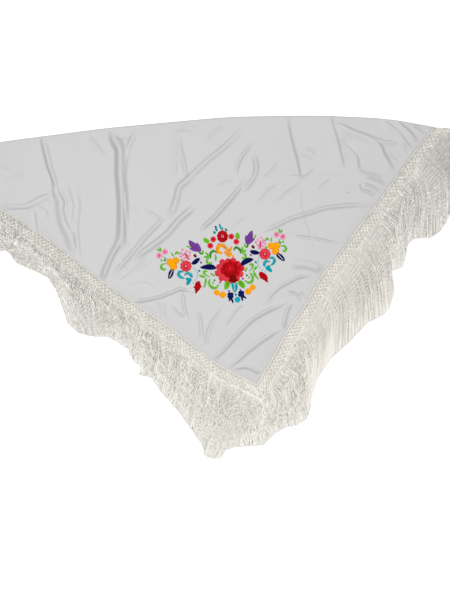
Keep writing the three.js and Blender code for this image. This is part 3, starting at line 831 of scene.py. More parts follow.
def lay_at(side, shares):
    """Ends seen from roots in metres, the bow in metres and the tangle, at shares of an edge."""
    sign = -1 if side == "left" else 1
    along = sign * np.asarray(shares) * EDGE_LENGTH[side] / MM
    right, down, bow, tangle = [
        np.interp(along, FRINGE_LAY[:, 0], FRINGE_LAY[:, i]) for i in (1, 2, 3, 4)
    ]
    return np.stack([right, -down], axis=1) * MM, bow * MM, tangle


def fringe_outline():
    """The whole outline of the fringe's ends, closed over the cloth."""
    far_left, far_right = (
        edge_points(side, UNSEEN[side], LAY_OUT) + lay_at(side, UNSEEN[side])[0] for side in SIDES
    )
    seen = from_pixels(FRINGE_OUTLINE)
    far_left = far_left[far_left[:, 0] < seen[0, 0] - 10 * MM]
    far_right = far_right[far_right[:, 0] > seen[-1, 0] + 5 * MM]
    back = [
        (AROUND["right"], far_right[-1, 1]), (AROUND["right"], AROUND["top"]),
        (AROUND["left"], AROUND["top"]), (AROUND["left"], far_left[0, 1]),
    ]
    return np.vstack([far_left, seen, far_right, back])


def inside(polygon, points):
    """True for each point inside a closed polygon."""
    a, b = polygon, np.roll(polygon, -1, axis=0)
    x, y = points[:, 0, None], points[:, 1, None]
    crosses = (a[:, 1] > y) != (b[:, 1] > y)
    rise = np.where(b[:, 1] == a[:, 1], 1e-9, b[:, 1] - a[:, 1])
    at = a[:, 0] + (y - a[:, 1]) / rise * (b[:, 0] - a[:, 0])
    return (crosses & (x < at)).sum(axis=1) % 2 == 1


OUTLINE = fringe_outline()
print(len(OUTLINE), "points in the fringe's outline")

# %% [markdown]
# Each yarn gets a guide: a curve that starts square to the net, bends, and ends where the table
# says. It is drawn on past its end and then cut where it leaves the fringe's outline, so the
# yarns fill the soft lobes of the real fringe right to their rims. Extra yarns fill the corner,
# where the ones of the two edges fan apart.

# %% Guides for the yarns
GUIDE_STEPS = 26
CORNER_SHARE = 0.11  # how far up an edge the extra yarns reach that fill the corner
OVERRUN = 60 * MM  # how far a guide is drawn on past its end
LEAST_SHARE = 0.55  # no guide is cut before this share of it
HALVINGS = 7  # how often the last step is halved to find the outline
HANG = 0.5  # how far the yarns' ends are turned to run straight down the picture
TIP_STIFFNESS = 0.36
BOW_AT_ROOT = 0.6  # the share of the bow that is there at the root
OVERRUN_POINTS = 5
LENGTH_SPREAD = 0.03
BOW_SPREAD = 0.6
rng = np.random.default_rng(11)


def bent_paths(roots, normals, ends, bows, stiffness):
    """Cubic curves that leave along the normals and come in along their own chords, bowed."""
    t = np.linspace(0, 1, GUIDE_STEPS + 1)[None, :, None]
    lay = ends - roots
    length = np.linalg.norm(lay, axis=1, keepdims=True)
    sideways = np.stack([-lay[:, 1], lay[:, 0]], axis=1) / length
    down = unit(unit(lay) * (1 - HANG) + np.array((0, -HANG)))
    p0, p3 = roots, ends
    p1 = roots + normals * length * stiffness + sideways * bows[:, None] * BOW_AT_ROOT
    p2 = ends - down * length * TIP_STIFFNESS + sideways * bows[:, None]
    p0, p1, p2, p3 = (p[:, None, :] for p in (p0, p1, p2, p3))
    curve = (1 - t) ** 3 * p0 + 3 * t * (1 - t) ** 2 * p1 + 3 * t * t * (1 - t) * p2 + t**3 * p3
    leave = unit(curve[:, -1] - curve[:, -3])[:, None, :]
    further = np.linspace(1 / OVERRUN_POINTS, 1, OVERRUN_POINTS)[None, :, None]
    beyond = curve[:, -1:, :] + leave * further * OVERRUN
    return np.concatenate([curve, beyond], axis=1)


# %% Cut the guides to the outline
def cut_lengths(paths):
    """How many points of each path are kept; the last one is moved to where it leaves the outline."""
    count, points, _ = paths.shape
    within = inside(OUTLINE, paths.reshape(-1, 2)).reshape(count, points)
    out = ~within
    out[:, :int(LEAST_SHARE * GUIDE_STEPS)] = False
    leaves = out.any(axis=1)
    gone = np.where(leaves, out.argmax(axis=1), GUIDE_STEPS)
    each = np.flatnonzero(leaves)
    near, far = paths[each, gone[each] - 1], paths[each, gone[each]]
    for _ in range(HALVINGS):
        middle = (near + far) / 2
        still = inside(OUTLINE, middle)[:, None]
        near, far = np.where(still, middle, near), np.where(still, far, middle)
    paths[each, gone[each]] = near
    gone[each] += 1
    return np.maximum(gone, 4)


# %% The guides of one layer
def yarn_guides(side, layer):
    """Guide paths of one layer of yarn on one side, how much of each is kept, and the tangle."""
    count = int(EDGE_LENGTH[side] / layer["spacing"])
    shares = ((np.arange(count) + 0.5) / count) ** layer["crowding"]
    shares = np.sort(np.append(shares, np.linspace(0.001, CORNER_SHARE, layer["corner_extra"])))
    count = len(shares)
    roots = edge_points(side, shares, ROOT_OUT)
    normals = unit(edge_points(side, shares, 0.05) - edge_points(side, shares, 0.0))
    lay, bow, tangle = lay_at(side, shares)
    spread = layer["spread"] * tangle + layer["least_spread"]
    ends = edge_points(side, shares, LAY_OUT) + lay * (1 + rng.normal(0, LENGTH_SPREAD, (count, 1)))
    ends += rng.normal(0, 1, (count, 2)) * spread[:, None]
    bows = bow * layer["bow"] + rng.normal(0, 1, count) * spread * BOW_SPREAD
    paths = bent_paths(roots, normals, ends, bows, layer["stiffness"])
    return paths, cut_lengths(paths), tangle


def guide_mesh(name, side, layer):
    """All guides of a layer as one mesh of edges, the tangle kept as an attribute."""
    paths, kept, tangle = yarn_guides(side, layer)
    points, edges, knottiness = [], [], []
    for path, count, tangled in zip(paths, kept, tangle):
        t = np.linspace(0, 1, count)
        rise = layer["root"] + (layer["heap"] * (1 + 0.5 * tangled)) * np.sin(math.pi * t**0.7)
        height = rise * (1 - t) ** 0.3 + layer["tip"]
        start = len(points)
        points.extend(in_frame(path[:count], height))
        edges.extend((start + i, start + i + 1) for i in range(count - 1))
        knottiness.extend([tangled] * count)
    mesh = bpy.data.meshes.new(name)
    mesh.from_pydata([tuple(p) for p in points], edges, [])
    mesh.attributes.new("tangle", "FLOAT", "POINT").data.foreach_set("value", knottiness)
    print(name, len(paths), "guides")
    return placed(name, mesh)


# %% [markdown]
# Yarn could be made as hair or as bevelled curves. A mesh is safer here, because it exports as it
# is. Geometry Nodes turn the guides into yarn. Every guide is cut into short steps, which are
# pushed aside in fine waves: the crinkle that the yarn keeps from its tight twist. Slow noise
# turns the waves' phase, so that neighbours wave together in some places and part in others.
# Last, a small ring swept along each guide makes the yarn, thinner towards its tip.

# %% Helpers for Geometry Nodes
def named_number(tree, name):
    """A number that the points of a mesh carry under a name."""
    node = add_node(tree, "GeometryNodeInputNamedAttribute", data_type="FLOAT")
    node.inputs["Name"].default_value = name
    return node.outputs["Attribute"]


def own_number(tree, seed):
    """A random number from 0 to 1 for each curve, the same all along it."""
    random = add_node(tree, "FunctionNodeRandomValue", data_type="FLOAT")
    on_curve = add_node(tree, "GeometryNodeFieldOnDomain", data_type="FLOAT", domain="CURVE")
    wire(tree, (seed, random.inputs["Seed"]), (random.outputs[1], on_curve.inputs[0]))
    return on_curve.outputs[0]


def with_tone(tree, geometry, tone):
    """Geometry whose points carry their tone, which the yarn's colour reads."""
    node = add_node(tree, "GeometryNodeStoreNamedAttribute", data_type="FLOAT", domain="POINT")
    wire(
        tree,
        (geometry, node.inputs["Geometry"]),
        ("tone", node.inputs["Name"]),
        (tone, node.inputs["Value"]),
    )
    return node.outputs[0]


def swept(tree, curves, sides, width):
    """A ring with so many sides, swept along curves and closed at their ends."""
    ring = add_node(tree, "GeometryNodeCurvePrimitiveCircle", mode="RADIUS")
    sweep = add_node(tree, "GeometryNodeCurveToMesh")
    wire(
        tree,
        (sides, ring.inputs["Resolution"]),
        (math_node(tree, "MULTIPLY", width, 0.5), ring.inputs["Radius"]),
        (curves, sweep.inputs["Curve"]),
        (ring.outputs[0], sweep.inputs["Profile Curve"]),
        (True, sweep.inputs["Fill Caps"]),
    )
    return sweep.outputs[0]


def finished(tree, geometry, material):
    """The end of every group: real faces instead of instances, and their material."""
    real = add_node(tree, "GeometryNodeRealizeInstances")
    dressed = add_node(tree, "GeometryNodeSetMaterial")
    wire(
        tree,
        (geometry, real.inputs[0]),
        (real.outputs[0], dressed.inputs["Geometry"]),
        (material, dressed.inputs["Material"]),
    )
    return dressed.outputs[0]


def grown(source, group, inputs, name):
    """A plain mesh object of what a Geometry Nodes group makes from a source object."""
    modifier = source.modifiers.new(group.name, "NODES")
    modifier.node_group = group
    for item in group.interface.items_tree:
        if item.item_type == "SOCKET" and item.in_out == "INPUT" and item.name in inputs:
            modifier[item.identifier] = inputs[item.name]
    bpy.context.view_layer.update()
    evaluated = source.evaluated_get(bpy.context.evaluated_depsgraph_get())
    mesh = bpy.data.meshes.new_from_object(evaluated)
    mesh.name = name
    bpy.data.objects.remove(source)
    print(name, sum(len(p.vertices) - 2 for p in mesh.polygons), "triangles")
    return placed(name, mesh)


# %% How a yarn waves, curls and wanders
SLOW_NOISE = 9  # the scale of the noise that turns the waves and the curls
SIZE_NOISE = 30
WANDER_NOISE = 26
ROOT_CALM = 14 * MM  # a yarn crinkles fully this far from its root
TIP_CALM = 0.15  # the share of the crinkle that is left at a yarn's tip
TIP_RETURN = 6.0  # how fast it comes back away from the tip
WAVE_DRIFT = {"slow": 2.4, "own": 0.12}  # turns by which noise and the yarn itself move it on
CURL_DRIFT = {"slow": 5.0, "own": 0.25}
OWN_LIFT = 2.4 * MM  # how much higher the highest yarn lies than the lowest
WAVE_SIZES = (1.2, 0.4)  # how much noise adds to the waves' height, and the least that is left
UP_SHARE = 0.45  # how high the waves are beside how wide
FLAT_WANDER = (1, 1, 0.25)
THINNING = 0.15  # how much of its width a yarn loses by its tip
# Painted light and shade: each wave's crest is paler and its trough darker.
CREST_LIGHT_AND_SHADE = 0.24  # how far a wave's crest is paler or darker than its middle
OWN_TONE = 0.52  # how far two yarns can differ


def yarn_strength(tree, along):
    """How far the crinkle is let in: none at the root, all of it soon after, little at the tip."""
    from_root = math_node(tree, "DIVIDE", along["Length"], ROOT_CALM)
    to_tip = math_node(tree, "SUBTRACT", 1.0, along["Factor"])
    from_tip = math_node(tree, "MULTIPLY_ADD", to_tip, TIP_RETURN, TIP_CALM)
    near_ends = [math_node(tree, "MINIMUM", share, 1.0) for share in (from_root, from_tip)]
    return math_node(tree, "MULTIPLY", *near_ends)


def drifting_angle(tree, along, turn_length, slow, own, drift):
    """An angle that turns once in each turn length, moved on by slow noise and by the yarn."""
    moved = math_node(tree, "MULTIPLY", slow, drift["slow"])
    moved = math_node(tree, "ADD", moved, math_node(tree, "MULTIPLY", own, drift["own"]))
    turns = math_node(tree, "DIVIDE", along["Length"], turn_length)
    return math_node(tree, "MULTIPLY", math_node(tree, "ADD", turns, moved), 2 * math.pi)


def wave_offset(tree, position, angle, height, own):
    """Waves to the side and, less high, up and down; each yarn lies at a level of its own."""
    tangent = add_node(tree, "GeometryNodeInputTangent").outputs[0]
    sideways = vector_node(tree, "NORMALIZE", vector_node(tree, "CROSS_PRODUCT", tangent, (0, 0, 1)))
    size, _ = noise(tree, position, SIZE_NOISE, 1)
    reach = math_node(tree, "MULTIPLY", height, math_node(tree, "MULTIPLY_ADD", size, *WAVE_SIZES))
    side_wave = math_node(tree, "MULTIPLY", math_node(tree, "SINE", angle), reach)
    up_wave = math_node(tree, "MULTIPLY", math_node(tree, "COSINE", angle), reach)
    level = math_node(tree, "MULTIPLY", math_node(tree, "SUBTRACT", own, 0.5), OWN_LIFT)
    up = combined(tree, z=math_node(tree, "MULTIPLY_ADD", up_wave, UP_SHARE, level))
    return vector_node(tree, "ADD", vector_node(tree, "SCALE", sideways, side_wave), up)


def curl_offset(tree, angle, radius):
    """Loops in the plan."""
    x = math_node(tree, "MULTIPLY", math_node(tree, "COSINE", angle), radius)
    y = math_node(tree, "MULTIPLY", math_node(tree, "SINE", angle), radius)
    return combined(tree, x, y)


def wander_offset(tree, position, reach):
    """A slow drift in every direction, a quarter as far up and down."""
    _, color = noise(tree, position, WANDER_NOISE, 1)
    way = vector_node(tree, "SUBTRACT", color, (0.5, 0.5, 0.5))
    return vector_node(tree, "SCALE", vector_node(tree, "MULTIPLY", way, FLAT_WANDER), reach)


# %% The yarn, a Geometry Nodes group
def build_yarn_group():
    """Yarn along guides: waved, curled where it is tangled, kept off the floor, and swept."""
    group, start, end = new_group(
        "crinkled yarn",
        [
            ("Guides", "NodeSocketGeometry", None),
            ("Step", "NodeSocketFloat", 4 * MM),
            ("Width", "NodeSocketFloat", 2.2 * MM),
            ("Wave length", "NodeSocketFloat", 14 * MM),
            ("Wave height", "NodeSocketFloat", 2.2 * MM),
            ("Wander", "NodeSocketFloat", 10 * MM),
            ("Curl length", "NodeSocketFloat", 46 * MM),
            ("Curl radius", "NodeSocketFloat", 7 * MM),
            ("Lowest", "NodeSocketFloat", 1.2 * MM),
            ("Seed", "NodeSocketInt", 3),
            ("Material", "NodeSocketMaterial", None),
        ],
        [("Yarn", "NodeSocketGeometry")],
        "GeometryNodeTree",
    )
    ins = start.outputs
    along = add_node(group, "GeometryNodeSplineParameter").outputs
    position = add_node(group, "GeometryNodeInputPosition").outputs[0]
    own = own_number(group, ins["Seed"])
    slow, _ = noise(group, position, SLOW_NOISE, 1)
    strength = yarn_strength(group, along)

    angle = drifting_angle(group, along, ins["Wave length"], slow, own, WAVE_DRIFT)
    height = math_node(group, "MULTIPLY", ins["Wave height"], strength)
    offset = wave_offset(group, position, angle, height, own)
    curl_angle = drifting_angle(group, along, ins["Curl length"], slow, own, CURL_DRIFT)
    radius = math_node(group, "MULTIPLY", named_number(group, "tangle"), strength)
    radius = math_node(group, "MULTIPLY", ins["Curl radius"], radius)
    offset = vector_node(group, "ADD", offset, curl_offset(group, curl_angle, radius))
    reach = math_node(group, "MULTIPLY", ins["Wander"], strength)
    offset = vector_node(group, "ADD", offset, wander_offset(group, position, reach))
    x, y, z = separated(group, vector_node(group, "ADD", position, offset))
    held = combined(group, x, y, math_node(group, "MAXIMUM", z, ins["Lowest"]))

    curve = add_node(group, "GeometryNodeMeshToCurve")
    steps = add_node(group, "GeometryNodeResampleCurve", mode="LENGTH")
    place = add_node(group, "GeometryNodeSetPosition")
    thin = add_node(group, "GeometryNodeSetCurveRadius")
    wire(
        group,
        (ins["Guides"], curve.inputs[0]),
        (curve.outputs[0], steps.inputs["Curve"]),
        (ins["Step"], steps.inputs["Length"]),
        (steps.outputs[0], place.inputs["Geometry"]),
        (held, place.inputs["Position"]),
        (place.outputs[0], thin.inputs["Curve"]),
        (math_node(group, "MULTIPLY_ADD", along["Factor"], -THINNING, 1.0), thin.inputs["Radius"]),
    )
    # The tone carries painted light on each wave's crest and painted shade in its trough, and each yarn's
    # own random share.
    crest = math_node(group, "COSINE", angle)
    crest = math_node(group, "MULTIPLY_ADD", crest, CREST_LIGHT_AND_SHADE, CREST_LIGHT_AND_SHADE)
    tone = math_node(group, "MULTIPLY_ADD", own, OWN_TONE, crest)
    yarn = swept(group, with_tone(group, thin.outputs[0], tone), 3, ins["Width"])
    wire(group, (finished(group, yarn, ins["Material"]), end.inputs["Yarn"]))
    return group


yarn_group = build_yarn_group()
print("group", yarn_group.name)

# %% [markdown]
# The yarn is a matt ivory. Each yarn has a tone of its own, with painted light and shade along its waves;
# its lowest parts, in the gaps between yarns, get a painted shade colour, and towards the far ends painted
# shade greys it in patches. Painted textures could hold all that, but three materials need the same effect,
# so it is one node group that each of them feeds with its own colours.

# %% The yarn's colour, a node group
# Painted shade: towards the far ends the yarn is darker and greyer in noisy patches, standing in for the
# shade in the fringe's folds.
FAR_SHADE = (0.71, 0.717, 0.737)  # what the far ends keep of each colour
FAR_SHADE_FROM = 0.1  # metres from the fringed corner where the greying starts
FAR_SHADE_TO = 0.85
FAR_SHADE_NOISE = 90


def build_yarn_color_group():
    """The yarn's own tone, a painted shade colour below a height, and painted shade in grey patches towards
    the far ends.
    """
    group, start, end = new_group(
        "yarn colour",
        [
            ("Coordinates", "NodeSocketVector", None),
            ("Tone", "NodeSocketFloat", 0.5),
            ("Light", "NodeSocketColor", None),
            ("Shade", "NodeSocketColor", None),
            ("Painted shade", "NodeSocketColor", None),
            ("Low", "NodeSocketFloat", 0.0),
            ("High", "NodeSocketFloat", 4 * MM),
        ],
        [("Color", "NodeSocketColor")],
    )
    ins = start.outputs
    own = mix_colors(group, ins["Tone"], ins["Shade"], ins["Light"])
    # Painted shade: the lower a point lies, the more it takes of the deep colour.
    _, _, height = separated(group, ins["Coordinates"])
    color = mix_colors(group, ramp(group, height, ins["Low"], ins["High"]), ins["Painted shade"], own)
    # Painted shade: noisy patches darken the colour, more so the further they lie from the fringed corner.
    reach = vector_node(group, "DISTANCE", ins["Coordinates"], (*PLAN_ZERO, 0))
    clouds, _ = noise(group, ins["Coordinates"], FAR_SHADE_NOISE, 3)
    patches = ramp(group, clouds, 0.25, 0.75)
    far_shade_share = math_node(group, "MULTIPLY", patches, ramp(group, reach, FAR_SHADE_FROM, FAR_SHADE_TO))
    far_shade_color = mix_colors(group, far_shade_share, (1, 1, 1), FAR_SHADE)
    wire(group, (mix_colors(group, 1, color, far_shade_color, "MULTIPLY"), end.inputs["Color"]))
    return group


yarn_color_group = build_yarn_color_group()
print("group", yarn_color_group.name)

# %% The yarn's material
# The third colour is a painted shade for the yarn's lowest parts, between the other yarns.
YARN_COLORS = {
    "Light": (0.862, 0.843, 0.788),
    "Shade": (0.792, 0.772, 0.716),
    "Painted shade": (0.74, 0.707, 0.64),
}
YARN_ROUGHNESS = 0.75
# Painted shade: the heights between which the yarn turns from its third colour to its own.
YARN_DEPTHS = (0, 4 * MM)  # heights of the deep colour and of the yarn's own


def build_yarn_material(name, colors, low, high):
    """Matt yarn in three colours; its third colour, a painted shade, shows below the height called high."""
    material, tree, shader = new_material(
        name, colors["Light"], YARN_ROUGHNESS, Specular_IOR_Level=0.2
    )
    color = add_node(tree, "ShaderNodeGroup", node_tree=yarn_color_group)
    tone = add_node(tree, "ShaderNodeAttribute", attribute_name="tone")
    wire(
        tree,
        (add_node(tree, "ShaderNodeTexCoord").outputs["Object"], color.inputs["Coordinates"]),
        (tone.outputs["Fac"], color.inputs["Tone"]),
        *(((*value, 1), color.inputs[label]) for label, value in colors.items()),
        (low, color.inputs["Low"]),
        (high, color.inputs["High"]),
        (color.outputs["Color"], shader.inputs["Base Color"]),
    )
    return material


yarn_material = build_yarn_material("ivory yarn", YARN_COLORS, *YARN_DEPTHS)
print("material", yarn_material.name)

# %% Grow the fringe
LAYERS = {
    "under": {
        "spacing": 2.7 * MM, "crowding": 1.22, "corner_extra": 44,
        "width": 4.2 * MM, "step": 5 * MM, "stiffness": 0.42, "bow": 0.5,
        "root": 1.6 * MM, "heap": 1.6 * MM, "tip": 1.2 * MM,
        "spread": 8 * MM, "least_spread": 1.2 * MM, "wave": 1.6 * MM, "wander": 5 * MM,
    },
    "upper": {
        "spacing": 1.7 * MM, "crowding": 1.06, "corner_extra": 26,
        "width": 2.2 * MM, "step": 3.8 * MM, "stiffness": 0.36, "bow": 1.0,
        "root": 3.0 * MM, "heap": 4.5 * MM, "tip": 1.6 * MM,
        "spread": 12 * MM, "least_spread": 1.2 * MM, "wave": 2.4 * MM, "wander": 7 * MM,
    },
}
CALM = {"left": 0.85, "right": 0.62}  # the right fringe lies smoother
WAVE_LENGTH = 11 * MM
FLOOR_AIR = 0.2 * MM
fringe = {}
for side in SIDES:
    for layer_name, layer in LAYERS.items():
        name = f"fringe_{side}_{layer_name}"
        settings = {
            "Step": layer["step"], "Width": layer["width"], "Wave length": WAVE_LENGTH,
            "Wave height": layer["wave"] * CALM[side], "Wander": layer["wander"] * CALM[side],
            "Lowest": layer["width"] / 2 + FLOOR_AIR, "Material": yarn_material,
        }
        guides = guide_mesh(name + "_guides", side, layer)
        fringe[side, layer_name] = grown(guides, yarn_group, settings, name)

for (side, layer_name), piece in fringe.items():
    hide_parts(f"fringe_{side}")
    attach(piece, "root")
print(len(fringe), "pieces of fringe")

# %% [markdown]
# Between the cloth and the fringe runs a knotted net. Two braids border it, and between them
# doubled cords cross on the slant, with a knot at every crossing, so diamond gaps are left.
# Real nets are tied from the fringe's own yarn. A flat band with a pattern would look right
# from far off, but not near by. So the cords are laid out as plain lines in two measures, the
# way along the edge and the way out from it, and are then bent to the edge and pulled about.

# %% The net's plan
NET_CELLS = {"left": 98, "right": 75}
KNOT_ROWS = np.array((7.0, 14.5, 22.0, 29.0)) * MM  # out from the cloth
BRAID_OUT = {"inner": 1.0 * MM, "outer": 34.0 * MM}
BRAID_REACH = 1.6 * MM  # how far a strand swings to each side
BRAID_RISE = 1.0 * MM
BRAID_TURN = 15 * MM
BRAID_LOW = 3.4 * MM
CORD_GAP = 0.85 * MM  # half the gap between the two cords of a pair
CORD_BULGE = 0.7 * MM
ASIDE = (0.8, 0.6)  # the way across a slanted cord, along the edge and out
NET_LOW = 3.3 * MM
# Low enough that the tails under the net take its painted shade colour.
TAIL_LOW = 2.0 * MM
NET_STEP = 0.9 * MM  # how far a cord passes over and under
TAIL_SPACING = 2.5 * MM
TAIL_ENDS = (1.5 * MM, 46 * MM)
TAIL_POINTS = 6
RUMPLE = {"left": 3.6 * MM, "right": 2.2 * MM}  # how far the laid net is pulled about


def band_points(side, along, out, height):
    """Frame points for distances along the edge, out from it and up, pulled about by slow waves."""
    along, out = np.asarray(along, float), np.asarray(out, float)
    loose = RUMPLE[side] * np.clip(out / (14 * MM), 0, 1)
    pulled = np.sin(along / (13 * MM) + out / (7 * MM)) + np.sin(along / (31 * MM) + 2)
    bulged = np.sin(along / (19 * MM) + 1) + np.sin(along / (8 * MM) - out / (11 * MM))
    along, out = along + 0.5 * loose * pulled, out + 0.5 * loose * bulged
    plan = edge_points(side, along / EDGE_LENGTH[side], out)
    return in_frame(plan, height)


# %% The net's cords and knots
def slanted_cords(side):
    """Every slanted cord as points along, out and up, from the first row of knots to the last."""
    cell = EDGE_LENGTH[side] / NET_CELLS[side]
    rows = len(KNOT_ROWS)
    at = np.linspace(0, rows - 1, 2 * (rows - 1) + 1)
    out = np.interp(at, np.arange(rows), KNOT_ROWS)
    paths = []
    for i in range(-2, NET_CELLS[side] + 3):
        for lean in (1, -1):
            along = (i + lean * at / 2) * cell
            keep = (along >= 0) & (along <= EDGE_LENGTH[side])
            if keep.sum() < 2:
                continue
            part = np.sin(math.pi * at) ** 2
            up = NET_LOW + NET_STEP * lean * np.cos(math.pi * at)
            for pair in (-1, 1):
                aside = pair * (CORD_GAP + CORD_BULGE * part)
                path = np.column_stack([along + aside * ASIDE[0], out - lean * aside * ASIDE[1], up])
                paths.append(path[keep])
    return paths


def braid_strands(side, out):
    """Three strands that weave through each other along the edge."""
    turns = round(EDGE_LENGTH[side] / BRAID_TURN)
    t = np.linspace(0, 2 * math.pi * turns, turns * 6 + 1)
    along = t / (2 * math.pi * turns) * EDGE_LENGTH[side]
    paths = []
    for strand in range(3):
        phase = t + strand * 2 * math.pi / 3
        across = out + BRAID_REACH * np.sin(phase)
        up = BRAID_LOW + BRAID_RISE * np.sin(2 * phase)
        paths.append(np.column_stack([along, across, up]))
    return paths


def painted_shade_tails(side):
    """The ends of the yarns, turned back under the net; they lie low, take the painted shade colour and so
    darken the net's gaps.
    """
    count = int(EDGE_LENGTH[side] / TAIL_SPACING)
    along = (np.arange(count) + 0.5) / count * EDGE_LENGTH[side]
    out = np.linspace(*TAIL_ENDS, TAIL_POINTS)
    still = np.ones(TAIL_POINTS)
    return [np.column_stack([still * a, out, still * TAIL_LOW]) for a in along]


def crossing_knots(side):
    """Where the knots are: along, out and up."""
    cell = EDGE_LENGTH[side] / NET_CELLS[side]
    places = []
    for row, out in enumerate(KNOT_ROWS):
        along = (np.arange(NET_CELLS[side] + 1) + (row % 2) / 2) * cell
        along = along[along < EDGE_LENGTH[side]]
        still = np.ones(len(along))
        places.append(np.column_stack([along, still * out, still * NET_LOW]))
    return np.vstack(places)


print({side: len(slanted_cords(side)) for side in SIDES}, "slanted cords")

# %% [markdown]
# Cords could be curve objects with a round bevel. Here there are hundreds in the net and
# thousands in the embroidery, so each set of paths is one mesh of edges, and a group of nodes
# sweeps a small ring along all of them at once and gives every cord a tone of its own.

# %% Cords as Geometry Nodes
CORD_NOISE = 160


def path_object(name, paths):
    """Paths as one mesh of edges."""
    sizes = [len(path) for path in paths]
    starts = np.cumsum([0] + sizes[:-1])
    edges = [(s + i, s + i + 1) for s, n in zip(starts, sizes) for i in range(n - 1)]
    mesh = bpy.data.meshes.new(name)
    mesh.from_pydata([tuple(p) for path in paths for p in path], edges, [])
    return placed(name, mesh)


def build_cord_group(name, mode):
    """Round cords along paths, which are cut into even steps or kept as they are."""
    step = [("Step", "NodeSocketFloat", 3 * MM)] if mode == "LENGTH" else []
    group, start, end = new_group(
        name,
        [
            ("Paths", "NodeSocketGeometry", None),
            *step,
            ("Width", "NodeSocketFloat", 2 * MM),
            ("Sides", "NodeSocketInt", 4),
            ("Wobble", "NodeSocketFloat", 0.5 * MM),
            ("Seed", "NodeSocketInt", 5),
            ("Material", "NodeSocketMaterial", None),
        ],
        [("Cords", "NodeSocketGeometry")],
        "GeometryNodeTree",
    )
    ins = start.outputs
    curve = add_node(group, "GeometryNodeMeshToCurve")
    steps = add_node(group, "GeometryNodeResampleCurve", mode=mode)
    if step:
        wire(group, (ins["Step"], steps.inputs["Length"]))
    position = add_node(group, "GeometryNodeInputPosition").outputs[0]
    _, color = noise(group, position, CORD_NOISE, 1)
    wobble = vector_node(group, "SUBTRACT", color, (0.5, 0.5, 0.5))
    place = add_node(group, "GeometryNodeSetPosition")
    full = add_node(group, "GeometryNodeSetCurveRadius")
    wire(
        group,
        (ins["Paths"], curve.inputs[0]),
        (curve.outputs[0], steps.inputs["Curve"]),
        (steps.outputs[0], place.inputs["Geometry"]),
        (vector_node(group, "SCALE", wobble, ins["Wobble"]), place.inputs["Offset"]),
        (place.outputs[0], full.inputs["Curve"]),
        (1, full.inputs["Radius"]),
    )
    toned = with_tone(group, full.outputs[0], own_number(group, ins["Seed"]))
    cords = swept(group, toned, ins["Sides"], ins["Width"])
    wire(group, (finished(group, cords, ins["Material"]), end.inputs["Cords"]))
    return group


cord_group = build_cord_group("round cord", "LENGTH")
thread_group = build_cord_group("sewn thread", "EVALUATED")
print("groups", cord_group.name, "and", thread_group.name)

# %% [markdown]
# Each knot is a yarn wound about one and a half times round the crossing. It could be a small
# ball, but seen close the turns of the yarn show. A spiral swept with a small ring makes one
# knot, and instances put it on every crossing, each turned and sized a little differently.

# %% Knots as Geometry Nodes
KNOT_TURNS = 1.6
KNOT_SHAPE = (1, 0.6, 1)  # pressed flat, as it lies
KNOT_LEAN = ((-0.35, -0.35, 0.2), (0.35, 0.35, 1.9))  # the least and the most, in radians
KNOT_SIZE = (0.7, 1.35)
KNOT_TONE = 0.9


def build_knot_group():
    """One wound knot, put on every point of a mesh."""
    group, start, end = new_group(
        "wound knots",
        [
            ("Crossings", "NodeSocketGeometry", None),
            ("Radius", "NodeSocketFloat", 2.0 * MM),
            ("Yarn width", "NodeSocketFloat", 2.0 * MM),
            ("Seed", "NodeSocketInt", 8),
            ("Material", "NodeSocketMaterial", None),
        ],
        [("Knots", "NodeSocketGeometry")],
        "GeometryNodeTree",
    )
    ins = start.outputs
    spiral = add_node(group, "GeometryNodeCurveSpiral")
    wire(
        group,
        (7, spiral.inputs["Resolution"]),
        (KNOT_TURNS, spiral.inputs["Rotations"]),
        (ins["Radius"], spiral.inputs["Start Radius"]),
        (ins["Radius"], spiral.inputs["End Radius"]),
        (math_node(group, "MULTIPLY", ins["Radius"], 1.1), spiral.inputs["Height"]),
    )
    wound = with_tone(group, swept(group, spiral.outputs[0], 3, ins["Yarn width"]), KNOT_TONE)
    lay = add_node(group, "GeometryNodeTransform")
    turn = add_node(group, "FunctionNodeRandomValue", data_type="FLOAT_VECTOR")
    size = add_node(group, "FunctionNodeRandomValue", data_type="FLOAT")
    copies = add_node(group, "GeometryNodeInstanceOnPoints")
    wire(
        group,
        (wound, lay.inputs["Geometry"]),
        ((math.radians(90), 0, 0), lay.inputs["Rotation"]),
        (KNOT_SHAPE, lay.inputs["Scale"]),
        (KNOT_LEAN[0], turn.inputs[0]),
        (KNOT_LEAN[1], turn.inputs[1]),
        (ins["Seed"], turn.inputs["Seed"]),
        (KNOT_SIZE[0], size.inputs[2]),
        (KNOT_SIZE[1], size.inputs[3]),
        (ins["Crossings"], copies.inputs["Points"]),
        (lay.outputs[0], copies.inputs["Instance"]),
        (turn.outputs[0], copies.inputs["Rotation"]),
        (size.outputs[1], copies.inputs["Scale"]),
    )
    wire(group, (finished(group, copies.outputs[0], ins["Material"]), end.inputs["Knots"]))
    return group


knot_group = build_knot_group()
print("group", knot_group.name)

# %% [markdown]
# The net is the fringe's own yarn, pulled tight and coloured a little paler. Its gaps are darker with
# painted shade: the yarn ends under it lie low, where the material gives its painted shade colour. The two
# braids lie a shade deeper than the net between them. A pattern of their own isn't needed: they take the
# fringe's material with other colours, and with depths that leave only the painted shade colour on what
# lies lowest.

